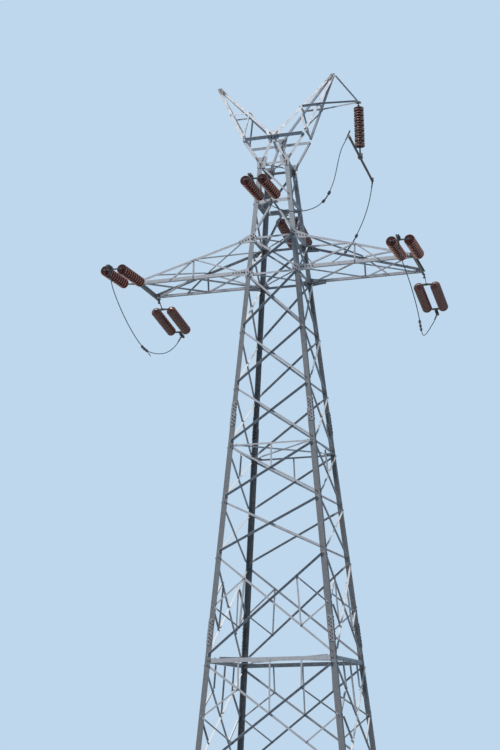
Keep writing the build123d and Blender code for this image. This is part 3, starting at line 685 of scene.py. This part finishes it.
def add_bolt(group, place, through):
    """A bolt whose washer lies at a place and whose nut is a thickness below it."""
    bolt_places[group].append((place, through))


def bolt_points(group, side, points, front, through):
    """Bolts at points of a side, their washers at a height above the legs' outer face."""
    for point in points:
        add_bolt(group, side @ Matrix.Translation((*point, front)), through)


def bolt_row(group, side, start, end, steps, front, back):
    """Bolts on a side at distances from a bar's start, from one height to a lower one."""
    run = (end - start).normalized()
    bolt_points(group, side, [start + run * step for step in steps], front, front - back)


tower_sides = {turn: side_frame(turn, base_half, 0.0, taper) for turn in (0, 90, 180, 270)}
print("half widths", [round(half(level), 3) for level in bay_levels])

# %% Bolts of the crossed bars, the short bars and the girts
foot_level = 0.420
diagonal_steps, tie_steps, girt_steps = (0.0, 0.055), (0.0, 0.045), (0.0, 0.042)
outer_layer = (bar_thick, -leg_thick)
inner_layer = (0.0, -leg_thick - bar_thick)
girt_drops = (
    (ring_level, 0.050), (mid_level, 0.020), (waist_level, 0.026),
    (arm_top_level, 0.026), (beam_level, 0.050), (head_level, 0.026),
)


def crossed_bars(bottom, top, foot_lift=0.090, top_drop=0.060):
    """Ends of a bay's outer and inner diagonal."""
    outer = (corner(bottom + foot_lift, -1), corner(top - top_drop, 1))
    inner = (corner(top - top_drop, -1), corner(bottom + foot_lift, 1))
    return outer, inner


def crossing(bars):
    """Where the two diagonals of a bay cross; they are mirror images."""
    start, end = bars[0]
    return start.lerp(end, -start.x / (end.x - start.x))


def bolt_both_ends(group, side, bar, steps, layer):
    """Bolts at both ends of a bar."""
    bolt_row(group, side, bar[0], bar[1], steps, *layer)
    bolt_row(group, side, bar[1], bar[0], steps, *layer)


def bolt_bay(group, side, bars):
    """All bolts of a crossed bay."""
    bolt_both_ends(group, side, bars[0], diagonal_steps, outer_layer)
    bolt_both_ends(group, side, bars[1], diagonal_steps, inner_layer)
    bolt_row(group, side, crossing(bars), bars[0][1], (0.0,), bar_thick, inner_layer[1])


def bolt_ties(group, side, bars, bottom, top):
    """Bolts of the short bars that hold the legs and the diagonals."""
    cross = crossing(bars)
    low_left, high_right, high_left, low_right = [
        cross.lerp(end, 0.5) for bar in bars for end in bar]
    left, right = [corner((bottom + top) / 2, hand) for hand in (-1, 1)]
    for leg_end, far_end, leg_layer, far_layer in (
        (left, low_left, outer_layer, (bar_thick, 0.0)),
        (right, high_right, outer_layer, (bar_thick, 0.0)),
        (right, low_right, inner_layer, (-leg_thick, inner_layer[1])),
        (left, high_left, inner_layer, (-leg_thick, inner_layer[1])),
    ):
        bolt_row(group, side, leg_end, far_end, (0.0,), *leg_layer)
        bolt_row(group, side, far_end, leg_end, tie_steps, *far_layer)


for turn, side in tower_sides.items():
    leg_bars = crossed_bars(foot_level, ring_level, top_drop=0.160)
    bolt_bay("lower", side, leg_bars)
    bolt_ties("lower", side, leg_bars, foot_level, ring_level)
    bays = [crossed_bars(low, high) for low, high in zip(bay_levels, bay_levels[1:])]
    bolt_ties("lower", side, bays[0], *bay_levels[:2])
    for bars in bays + [crossed_bars(waist_level, arm_top_level)]:
        bolt_bay("body", side, bars)
    head_bars = crossed_bars(beam_level, head_level)
    if turn in (0, 180):
        bolt_both_ends("body", side, head_bars[1], diagonal_steps, inner_layer)
    else:
        for bar in (head_bars[0], crossed_bars(arm_top_level, beam_level)[0]):
            bolt_both_ends("body", side, bar, diagonal_steps, outer_layer)
    for level, drop in girt_drops:
        reach, height = half(level) - leg_gauge, (level - drop) * face_slope
        girt = Vector((-reach, height)), Vector((reach, height))
        group = "lower" if level == ring_level else "body"
        bolt_both_ends(group, side, girt, girt_steps, inner_layer)
print("bolts so far", {name: len(places) for name, places in bolt_places.items()})

# %% Bolts of the leg joints, the shoes and the crossarm roots
splice_levels = (3.850, 9.400)
splice_steps = (0.045, 0.135, 0.225)
splice_rows = ((0.040, 0.0), (0.088, 0.045))
shoe_heights, shoe_insets = (0.105, 0.220, 0.335), (0.030, 0.105)
arm_reach, arm_node, arm_web_node = 3.720, 2.200, 2.850
arm_depth, arm_tip_depth = 1.030, 0.115
arm_fall = (arm_depth - arm_tip_depth) / (arm_reach - half(arm_top_level))
root_steps = [0.050 + 0.078 * index for index in range(5)]
lower_root_rise, upper_root_drop, root_plate_drop = 0.048, 0.030, 0.045
root_plate_bolts = ((0.035, 0.0), (0.035, 0.085), (0.090, 0.045), (0.090, 0.130), (0.150, 0.070))


def joint_points(hand):
    """Two staggered rows of bolts above and below each joint of a leg."""
    return [
        corner(level + way * (step + shift), hand, inset)
        for level in splice_levels for way in (-1, 1)
        for step in splice_steps for inset, shift in splice_rows
    ]


def chord_points(hand):
    """Bolts along the ends of a crossarm's lower and upper chord."""
    points = []
    for reach in root_steps:
        low_rise = waist_level * face_slope + lower_root_rise
        points.append((hand * (half(waist_level) + reach), low_rise))
        if reach < root_steps[-1]:
            high_rise = arm_top_level * face_slope - arm_fall * reach - upper_root_drop
            points.append((hand * (half(arm_top_level) + reach), high_rise))
    return points


def root_plate_points(hand):
    """Bolts of a crossarm's root plates in the leg."""
    return [
        corner(level, hand, inset) + Vector((0, rise - root_plate_drop))
        for level in (waist_level, arm_top_level) for inset, rise in root_plate_bolts
    ]


for turn, side in tower_sides.items():
    for hand in (-1, 1):
        bolt_points("heavy", side, joint_points(hand), splice_thick, splice_thick + leg_thick)
        shoe = [corner(height, hand, inset) for height in shoe_heights for inset in shoe_insets]
        bolt_points("heavy", side, shoe, leg_thick, 2 * leg_thick)
        if turn in (0, 180):
            chords, legs = chord_points(hand), root_plate_points(hand)
            bolt_points("heavy", side, chords, gusset_thick, gusset_thick + chord_thick)
            bolt_points("heavy", side, legs, gusset_thick, gusset_thick + leg_thick)
print("plate bolts so far", len(bolt_places["heavy"]))

# %% Bolts of the crossarms
web_lift = 0.030
web_steps = (0.0, 0.045)
lower_chord = 0.090
top_half_width, waist_half_width = half(arm_top_level), half(waist_level)
node_share = (arm_node - top_half_width) / (arm_reach - top_half_width)
first_web = waist_half_width + 0.070
arm_stack = chord_thick + bar_thick
lower_gauge, upper_gauge, tip_steps = 0.045, 0.030, (0.060, 0.130)
tip_beam_y, tip_beam_rise, tip_beam_steps = 0.895, 0.035, (-0.045, 0.045)


def bolt_arm_side(side, hand):
    """Bolts where the webs of one side of a crossarm meet its chords, and at its tip."""
    low_y = waist_level * face_slope
    root = Vector((hand * (top_half_width + 0.010), arm_top_level * face_slope))
    tip = Vector((hand * arm_reach, (waist_level + arm_tip_depth) * face_slope))
    node = root.lerp(tip, node_share)
    for x in (node.x, hand * first_web, hand * arm_web_node):
        foot = Vector((x, low_y + web_lift))
        bolt_row("arm", side, foot, node, web_steps, 0.0, -arm_stack)
        bolt_row("arm", side, node, foot, (0.050,), 0.0, -arm_stack)
    for y in (low_y + lower_gauge, tip.y - upper_gauge):
        tip_points = [(hand * (arm_reach - step), y) for step in tip_steps]
        bolt_points("arm", side, tip_points, 0.0, chord_thick)


def bolt_arm_levels(hand):
    """Bolts of the bars that cross a crossarm's underside and its sloping top."""
    for x in (first_web, arm_node, arm_reach - 0.110):
        for way in (-1, 1):
            spot = (hand * x, way * (waist_half_width - lower_chord / 2), waist_level)
            add_bolt("arm", axis_frame(spot, (0, 0, -1)), arm_stack)
    run = Vector((hand * (arm_reach - top_half_width), 0, arm_tip_depth - arm_depth))
    up = Vector((-hand * run.z, 0, abs(run.x))).normalized()
    for share in (0.03, node_share, 0.88):
        level = arm_top_level + run.z * share
        for way in (-1, 1):
            foot = Vector((hand * top_half_width, way * (half(level) - 0.045), arm_top_level))
            spot = foot + run * share + up * bar_thick
            add_bolt("arm", axis_frame(spot, up, (0, 1, 0)), arm_stack)


for hand in (-1, 1):
    bolt_arm_side(tower_sides[0], hand)
    bolt_arm_side(tower_sides[180], -hand)
    bolt_arm_levels(hand)
    x, z = hand * (arm_reach + lug_thick), waist_level + tip_beam_rise
    for way in (-1, 1):
        for step in tip_beam_steps:
            place = axis_frame((x, way * (tip_beam_y + step), z), (hand, 0, 0), (0, 1, 0))
            add_bolt("heavy", place, lug_thick)
print("crossarm bolts", len(bolt_places["arm"]))

# %% Bolts of the peak and the horns
horn_rise = 1.740
horn_lean = half(tie_level) / horn_rise
horn_slope = math.hypot(1, horn_lean)
horn_reach, tie_reach = 1.656, 0.861
outer_web_x, inner_web_x, web_rise = 1.255, 0.717, 0.820
horn_sides = {turn: side_frame(turn, half(tie_level), tie_level, horn_lean) for turn in (0, 180)}
knee_steps, crown_steps = (-0.020, 0.035, 0.090), (-0.005, 0.040, 0.085)
outer_steps, horn_steps = (0.0, 0.050, 0.100), (-0.030, 0.015, 0.060)
heel_drops, tie_spots = (0.120, 0.065, 0.010), (-0.130, -0.060, 0.060, 0.130)
tip_bolts = ((0.060, 0.055), (0.110, 0.080), (0.160, 0.105), (0.160, 0.160), (0.210, 0.190))


def bolt_peak(side):
    """Rows of bolts on the three plates of the peak and along the level tie."""
    foot, top = (head_level + 0.090) * face_slope, tie_level * face_slope
    heel = half(head_level)
    plates = (gusset_thick, -chord_thick)
    for hand in (-1, 1):
        knee, crown, heel_end, horn_end = [Vector((hand * x, y)) for x, y in (
            (heel - 0.130, foot), (0.040, top - 0.090),
            (heel + 0.010, foot), (tie_reach - 0.020, top - 0.060))]
        bolt_row("heavy", side, knee, crown, knee_steps, *plates)
        bolt_row("heavy", side, crown, knee, crown_steps, *plates)
        bolt_row("heavy", side, heel_end, horn_end, outer_steps, *plates)
        bolt_row("peak", side, horn_end, heel_end, tie_steps, 0.0, -chord_thick)
        heels = [(hand * (heel - 0.055), head_level * face_slope - drop) for drop in heel_drops]
        bolt_points("heavy", side, heels, gusset_thick, gusset_thick + leg_thick)
    ties = [(x, top - 0.055) for x in tie_spots]
    bolt_points("heavy", side, ties, 2 * gusset_thick, chord_thick)


def bolt_horns(side):
    """Bolts at the foot, the webs and the tip of both horns."""
    web, top = web_rise * horn_slope, horn_rise * horn_slope
    web_spots = ((outer_web_x, web), (inner_web_x, web), (tie_reach, 0.075))
    for hand in (-1, 1):
        root = Vector((hand * 0.075, 0.060))
        tip = Vector((hand * (horn_reach - 0.060), top - 0.040))
        bolt_row("heavy", side, root, tip, horn_steps, gusset_thick, -chord_thick)
        bolt_points("peak", side, [(hand * x, y) for x, y in web_spots], 0.0, chord_thick)
        tips = [
            (hand * (horn_reach - inset), top - drop * horn_slope) for drop, inset in tip_bolts]
        bolt_points("peak", side, tips, gusset_thick, gusset_thick + chord_thick)


for turn, horn_side in horn_sides.items():
    bolt_peak(tower_sides[turn])
    bolt_horns(horn_side)
print("peak bolts", len(bolt_places["peak"]))

# %% Bolts of the level frames
corner_plates = (
    (ring_level, 0.300), (mid_level, 0.260), (waist_level, 0.240),
    (arm_top_level, 0.240), (head_level, 0.230),
)
plate_bolts = ((0.38, -0.2), (0.38, 0.2), (-0.2, 0.38), (0.2, 0.38), (-0.08, -0.08))
plate_inset = leg_thick + 0.010
for level, plate in corner_plates:
    centre = half(level) - plate_inset - plate / 2
    for sign_x, sign_y in four_corners:
        for step_x, step_y in plate_bolts:
            x, y = sign_x * (centre + step_x * plate), sign_y * (centre + step_y * plate)
            add_bolt("body", axis_frame((x, y, level - bar_thick), (0, 0, -1)), 2 * bar_thick)
    add_bolt("body", axis_frame((0, 0, level), (0, 0, -1)), bar_thick)
print("bolts", {name: len(places) for name, places in bolt_places.items()})

# %% Seat each bolt on the steel
def steel_tree():
    """A search tree over every steel node of the tower."""
    corners, faces = [], []
    for name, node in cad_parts.items():
        if name.endswith("insulators") or name in jumper_routes:
            continue
        first = len(corners)
        corners += [node.matrix_world @ vertex.co for vertex in node.data.vertices]
        faces += [[first + index for index in face.vertices] for face in node.data.polygons]
    return BVHTree.FromPolygons(corners, faces)


steel = steel_tree()
turned_over = Matrix.Rotation(math.pi, 4, "X")
search_out, search_in = 0.030, 0.012


def seat(place, through):
    """Places for the head and the nut on the outer sides of the steel, or None without steel."""
    spot = place.to_translation()
    outward = place.to_3x3() @ Vector((0, 0, 1))
    reach = search_out + search_in
    front = steel.ray_cast(spot + outward * search_out, -outward, reach)[0]
    back = steel.ray_cast(spot - outward * (through + search_out), outward, reach)[0]
    if front is None or back is None:
        return None
    head = Matrix.Translation(front - spot) @ place
    return head, Matrix.Translation(back - spot) @ place @ turned_over


bolt_seats = {
    group: [found for found in (seat(*bolt) for bolt in places) if found]
    for group, places in bolt_places.items()
}
for group, seats in bolt_seats.items():
    print(group, "bolts seated", len(seats), "of", len(bolt_places[group]))

# %% Grow the bolts
bar_bolt, plate_bolt = 0.016, 0.020
washer_thick = 0.003


def stacked_shape(name, prisms):
    """A few closed prisms stacked along Z as one small object."""
    shape = bmesh.new()
    for radius, low, high, sides in prisms:
        prism(shape, round_outline(radius, sides), low, high)
    return bpy.data.objects.new(name, to_mesh(name, shape))


def bolt_pair(size):
    """The head and the nut of a bolt, with real proportions, for a thread's diameter."""
    flats = 0.5 * 1.5 * size / math.cos(math.pi / 6)
    washer = (0.93 * size, 0.0, washer_thick, 10)
    head, nut, thread = [
        (radius, washer_thick, washer_thick + height * size, sides)
        for radius, height, sides in ((flats, 0.63, 6), (flats, 0.8, 6), (0.5 * size, 1.35, 8))
    ]
    bolt_head = stacked_shape("bolt_head", [washer, head])
    return bolt_head, stacked_shape("bolt_nut", [washer, nut, thread])


for group, seats in bolt_seats.items():
    head, nut = bolt_pair(plate_bolt if group == "heavy" else bar_bolt)
    heads, nuts = zip(*seats)
    for part, shape, spots in (("heads", head, heads), ("nuts", nut, nuts)):
        piece = grow(f"{group}_bolt_{part}", spots, shape, zinc["bolt"])
        print(piece.name, "faces", len(piece.data.polygons))

# %% Anchor bolts
shoe_top = 0.028
shoe_inset, anchor_gap = 0.070, 0.160
shoe_centre = half(shoe_top) - shoe_inset
anchor_nut = stacked_shape("anchor_nut", [
    (0.034, 0.0, 0.005, 12), (0.0265, 0.005, 0.030, 6), (0.015, 0.030, 0.075, 10)])
anchor_spots = [
    Matrix.Translation((
        sign_x * shoe_centre + step_x * anchor_gap, sign_y * shoe_centre + step_y * anchor_gap,
        shoe_top))
    for sign_x, sign_y in four_corners for step_x, step_y in four_corners
]
anchors = grow("anchor_nuts", anchor_spots, anchor_nut, zinc["bolt"])
print("anchor nuts", len(anchor_spots))

# %% [markdown]
# # Insulator strings
#
# Each string is a chain of porcelain discs, 146 mm apart. A disc has a cast iron cap cemented on
# top, and porcelain that spreads out under it in a ribbed shed. The discs of the hanging string
# have two sheds, one under the other, so that string looks denser. The porcelain, the cap and the
# pin are turned profiles, and the tree repeats them down every string.

# %% Where each string starts and runs
disc_pitch = 0.146
tension_discs, hanging_discs = 10, 8
twin_spacing = 0.450
front_droop, back_droop = 2.4, 9.5
bracket_x = 2.305
hanging_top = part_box("hanging_hook")[0][2]
arm_ends = ((1.150, 13.140, -1, front_droop), (1.250, 13.050, 1, back_droop))
head_ends = ((1.000, 15.230, -1, front_droop), (1.000, 15.230, 1, back_droop))


def string_frame(x, start, level, way, droop):
    """The tower end of a twin string; Z runs out along it."""
    droop = math.radians(droop)
    return axis_frame((x, way * start, level), (0, way * math.cos(droop), -math.sin(droop)))


string_frames = {
    name: [string_frame(x, *end) for end in ends]
    for name, x, ends in (
        ("left", -lug_x, arm_ends), ("right", lug_x, arm_ends), ("middle", 0, head_ends))
}
twin_shift = [Matrix.Translation((hand * twin_spacing / 2, 0, 0)) for hand in (-1, 1)]
string_starts = {
    name: [place @ shift for place in frames for shift in twin_shift]
    for name, frames in string_frames.items()
}
string_starts["hanging"] = [axis_frame((bracket_x, 0, hanging_top), (0, 0, -1))]
print("strings", {name: len(starts) for name, starts in string_starts.items()})

# %% Porcelain
def make_glaze():
    """Dark red-brown glaze, streaked by rain, with a pale painted highlight on the rims."""
    paint, tree, shader = new_finish("brown_glaze", roughness=0.3)
    clouds = use_effect(tree, "clouds", Scale=5.0, Amount=0.8)
    rain = use_effect(tree, "streaks", Scale=30.0, Amount=0.5)
    rims = add_node(tree, "ShaderNodeAttribute", attribute_name="rim_highlight").outputs["Fac"]
    tone = blend_colour(tree, clouds, (0.165, 0.030, 0.020), (0.085, 0.017, 0.013))
    tone = blend_colour(tree, rain, tone, (0.22, 0.070, 0.048))
    # Painted highlight: the rims and lips of the sheds get a pale tone, where their sunlit edges
    # would show.
    tone = blend_colour(tree, rims, tone, (0.76, 0.45, 0.37))
    feed(tree, shader, {
        "Base Color": tone, "Roughness": range_of(tree, clouds, 0, 1, 0.26, 0.5),
        "Coat Weight": 0.25, "Coat Roughness": 0.26,
    })
    return paint


brown_glaze = make_glaze()
print("finish", brown_glaze.name)

# %% The shapes of a disc
# Each point of a profile is a radius, a distance along the string from the cap's top, and the
# share of the pale painted highlight there.
single_profile = [
    (0.044, 0.026, 0), (0.076, 0.034, 0), (0.110, 0.052, 0), (0.130, 0.070, 0), (0.139, 0.088, 0),
    (0.140, 0.100, 0), (0.137, 0.109, 0.3), (0.130, 0.107, 1), (0.122, 0.080, 0.3),
    (0.114, 0.070, 0), (0.108, 0.100, 0), (0.100, 0.100, 0.2), (0.095, 0.073, 0),
    (0.083, 0.068, 0), (0.077, 0.106, 0), (0.070, 0.107, 0.2), (0.064, 0.068, 0),
    (0.030, 0.064, 0), (0.024, 0.118, 0), (0, 0.118, 0),
]
double_profile = [
    (0.044, 0.026, 0), (0.080, 0.030, 0), (0.118, 0.043, 0), (0.133, 0.051, 0),
    (0.139, 0.058, 0.1), (0.140, 0.066, 0.2), (0.136, 0.073, 0.1), (0.128, 0.072, 0),
    (0.104, 0.060, 0), (0.062, 0.056, 0), (0.058, 0.094, 0), (0.110, 0.106, 0),
    (0.131, 0.115, 0), (0.138, 0.122, 0.1), (0.139, 0.131, 0.2), (0.135, 0.137, 0.1),
    (0.127, 0.134, 0), (0.118, 0.108, 0), (0.101, 0.126, 0), (0.094, 0.126, 0),
    (0.086, 0.100, 0), (0.030, 0.092, 0), (0.024, 0.118, 0), (0, 0.118, 0),
]
cap_profile = [
    (0, 0, 0), (0.028, 0.001, 0), (0.040, 0.010, 0), (0.047, 0.028, 0), (0.049, 0.040, 0),
    (0.040, 0.042, 0), (0, 0.042, 0),
]
pin_profile = [(0, 0.118, 0), (0.011, 0.118, 0), (0.011, 0.150, 0), (0, 0.150, 0)]
sharp_angle = math.radians(42)


def lathe(name, profile, sides):
    """A shape turned round Z from a profile, where a radius of 0 is a single corner."""
    shape = bmesh.new()
    rings, rim_highlight = [], []
    for radius, height, share in profile:
        outline = round_outline(radius, sides) if radius else [(0, 0)]
        rings.append([shape.verts.new((x, y, height)) for x, y in outline])
        rim_highlight += [share] * len(outline)
    skin(shape, rings, smooth=True, ends=False)
    bmesh.ops.recalc_face_normals(shape, faces=shape.faces)
    mesh = to_mesh(name, shape)
    mesh.set_sharp_from_angle(angle=sharp_angle)
    # This attribute carries the share of the painted highlight on the rims.
    mesh.attributes.new("rim_highlight", "FLOAT", "POINT").data.foreach_set("value", rim_highlight)
    return bpy.data.objects.new(name, mesh)


single_shape = lathe("single_shed", single_profile, 18)
double_shape = lathe("double_shed", double_profile, 18)
cap_shape = lathe("iron_cap", cap_profile, 10)
pin_shape = lathe("iron_pin", pin_profile, 6)
print("shed faces", len(single_shape.data.polygons), len(double_shape.data.polygons))

# %% String the discs
for name, starts in string_starts.items():
    hangs = name == "hanging"
    count, shed_shape = (hanging_discs, double_shape) if hangs else (tension_discs, single_shape)
    sheds = grow(f"{name}_string_sheds", starts, shed_shape, brown_glaze, count, disc_pitch)
    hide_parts(f"{name}_insulators")
    for part, shape in (("caps", cap_shape), ("pins", pin_shape)):
        iron = grow(f"{name}_string_{part}", starts, shape, zinc["iron"], count, disc_pitch)
    print(name, "string faces", len(sheds.data.polygons))

# %% [markdown]
# # Fittings of the strings
#
# Cast and forged pieces carry the strings: clevises on both yokes of each pair, a shackle pin at
# the crossarm, and at the line end a strain clamp whose U bolts grip the cable. They are drawn
# in each string's own frame, so that every string gets the same set wherever it points.

# %% Clevises, pins and strain clamps
clevis_gap = 0.013
clamp_start = 0.080
ubolt_steps = (0.060, 0.135, 0.210, 0.285)
ubolt_half, ubolt_radius = 0.031, 0.0065
string_length = tension_discs * disc_pitch


def draw_clevis(shape, place, way):
    """Two cheeks and a pin that join a yoke to one string; way is where the yoke lies."""
    for side in (-1, 1):
        block(shape, (0, side * clevis_gap, way * 0.010), (0.040, 0.009, 0.086), place)
    nut_pin(shape, place, 0, way * 0.030, (-0.034, 0.034), 0.009, (0.020, 0.030), 0.017)
    rod(shape, (0, 0, -way * 0.006), (0, 0, -way * 0.040), 0.019, 10, place)


def draw_ubolt(shape, place, step):
    """A U bolt over the clamp's barrel, with its saddle and nuts."""
    for x in (-ubolt_half, ubolt_half):
        nut_pin(shape, place, x, step, (-0.034, 0.052), ubolt_radius, (0.034, 0.045), 0.0125)
    rod(shape, (-0.036, -0.032, step), (0.036, -0.032, step), ubolt_radius, 8, place)
    block(shape, (0, 0.027, step), (0.086, 0.014, 0.034), place)


def draw_clamp(shape, place):
    """The strain clamp beyond the yoke at the line end of a pair of strings."""
    start = string_length + clamp_start
    for side in (-1, 1):
        block(shape, (0, side * clevis_gap, start + 0.010), (0.050, 0.010, 0.100), place)
    rod(shape, (0, -0.036, start), (0, 0.036, start), 0.011, 8, place)
    rod(shape, (0, 0, start + 0.040), (0, 0, start + 0.345), 0.028, 12, place)
    for step in ubolt_steps:
        draw_ubolt(shape, place, start + step)
    rod(shape, (0, 0, start + 0.330), (0, 0, start + 0.352), 0.032, 12, place)


def draw_anchor(shape, place, anchor):
    """Pins through both ends of the strap that holds the yoke at the tower."""
    for spot in (place @ Vector((0, 0, -clamp_start)), Vector(anchor)):
        for reach, radius, sides in ((0.042, 0.012, 8), (0.028, 0.022, 6)):
            across = Vector((reach, 0, 0))
            rod(shape, spot - across, spot + across, radius, sides)


# The strap's anchor under each crossarm tip and the middle beam: X, distance along Y, and Z.
strap_anchors = {
    "left": (-lug_x, 0.960, waist_level - 0.060),
    "right": (lug_x, 0.960, waist_level - 0.060),
    "middle": (0, half(beam_level) + 0.220, beam_level - 0.120),
}
for name, frames in string_frames.items():
    shape = bmesh.new()
    x, y, z = strap_anchors[name]
    for place, way in zip(frames, (-1, 1)):
        for shift in twin_shift:
            draw_clevis(shape, place @ shift, -1)
            draw_clevis(shape, place @ shift @ Matrix.Translation((0, 0, string_length)), 1)
        draw_clamp(shape, place)
        draw_anchor(shape, place, (x, way * y, z))
    keep_piece(f"{name}_clevises_and_clamps", shape, zinc["iron"])

# %% The hanging string's hook and the pipe's clamps
pipe_front = Vector((2.231, -1.060, 16.617))
pipe_back = Vector((2.389, 1.190, 16.166))
pipe_run = (pipe_back - pipe_front).normalized()
pipe_middle = pipe_front - pipe_run * (pipe_front.y / pipe_run.y)
hook_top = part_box("hanging_hook")[1][2]
shape = bmesh.new()
for level in (hook_top - 0.020, hanging_top + 0.022):
    rod(shape, (bracket_x - 0.034, 0, level), (bracket_x + 0.034, 0, level), 0.010)
    rod(shape, (bracket_x - 0.030, 0, level), (bracket_x - 0.018, 0, level), 0.018, 6)
rod(shape, (bracket_x, 0, hanging_top + 0.012), (bracket_x, 0, hanging_top - 0.020), 0.020, 10)
for side in (-1, 1):
    block(shape, pipe_middle + Vector((side * 0.052, 0, 0.055)), (0.010, 0.090, 0.150))
    for way in (-1, 1):
        start, end = [Vector((side * x, way * 0.038, 0.014)) for x in (0.040, 0.068)]
        rod(shape, pipe_middle + start, pipe_middle + end, 0.014, 6)
start, end = [Vector((x, 0, 0.105)) for x in (-0.070, 0.070)]
rod(shape, pipe_middle + start, pipe_middle + end, 0.011)
for end, run in ((pipe_front, pipe_run), (pipe_back, -pipe_run)):
    rod(shape, end - run * 0.004, end + run * 0.050, 0.038, 14)
    rod(shape, end + run * 0.110, end + run * 0.135, 0.037, 14)
keep_piece("hook_and_pipe_clamps", shape, zinc["iron"])

# %% [markdown]
# # Joints in the jumpers
#
# Each jumper is two lengths of cable that lap side by side and are held by clamps. The lap is a
# tube along points read from the cable's own curve, moved sideways by one cable's width. On the
# left jumper the front cable's end leaves the lap and sticks out below.

# %% Follow a cable and draw along it
def spot_along(line, distance):
    """The point at a distance along a line, and the direction there."""
    for before, after in zip(line, line[1:]):
        step = (after - before).length
        if distance <= step:
            return before.lerp(after, distance / step), (after - before).normalized()
        distance -= step
    return line[-1], (line[-1] - line[-2]).normalized()


def stretch(line, start, end, shift, pieces=14):
    """Points between two distances of a line, moved sideways."""
    points = []
    for step in range(pieces + 1):
        point, along = spot_along(line, start + (end - start) * step / pieces)
        points.append(point + Vector(shift) - along * along.dot(Vector(shift)))
    return points


def tube(shape, points, radius, sides=8):
    """A closed tube along points."""
    rings = []
    for index, point in enumerate(points):
        along = points[min(index + 1, len(points) - 1)] - points[max(index - 1, 0)]
        place = axis_frame(point, along)
        outline = round_outline(radius, sides)
        rings.append([shape.verts.new(place @ Vector((x, y, 0))) for x, y in outline])
    skin(shape, rings, smooth=True)


def draw_cable_clamp(shape, line, distance, shift):
    """Two grooved blocks over both cables, with two bolts."""
    point, along = spot_along(line, distance)
    place = axis_frame(point + Vector(shift) / 2, along, shift)
    block(shape, (0, 0, 0), (0.066, 0.046, 0.090), place)
    for step in (-0.024, 0.024):
        nut_pin(shape, place, 0, step, (-0.036, 0.040), 0.006, (0.023, 0.034), 0.0115)


# %% Lap the jumpers
lap_shift = (0, 0, -0.025)
free_end = Vector((-lug_x, 0.230, 11.475))
sleeve_length, sleeve_radius = 0.110, 0.018
# Each lap has a start and an end along the cable, and the distances of its clamps.
laps = {
    "left_jumper": (2.760, 3.240, (2.830, 3.000, 3.170)),
    "right_jumper": (2.520, 3.110, (2.600, 2.820, 3.040)),
    "middle_jumper_front": (2.150, 2.580, (2.190, 2.510)),
    "middle_jumper_back": (1.650, 2.360, (1.700, 2.310)),
}
lap_shape, clamp_shape = bmesh.new(), bmesh.new()
for name, (start, end, clamps) in laps.items():
    line = jumper_lines[name]
    points = stretch(line, start, end, lap_shift)
    if name == "left_jumper":
        points.append(free_end)
    tube(lap_shape, points, jumper_radius)
    for distance in clamps:
        draw_cable_clamp(clamp_shape, line, distance, lap_shift)
    whole = run_length(line)
    for tip, inner in ((0.0, sleeve_length), (whole, whole - sleeve_length)):
        tube(clamp_shape, stretch(line, tip, inner, (0, 0, 0), 4), sleeve_radius, 10)
keep_piece("jumper_laps", lap_shape, cable_finish)
keep_piece("jumper_clamps", clamp_shape, zinc["iron"])
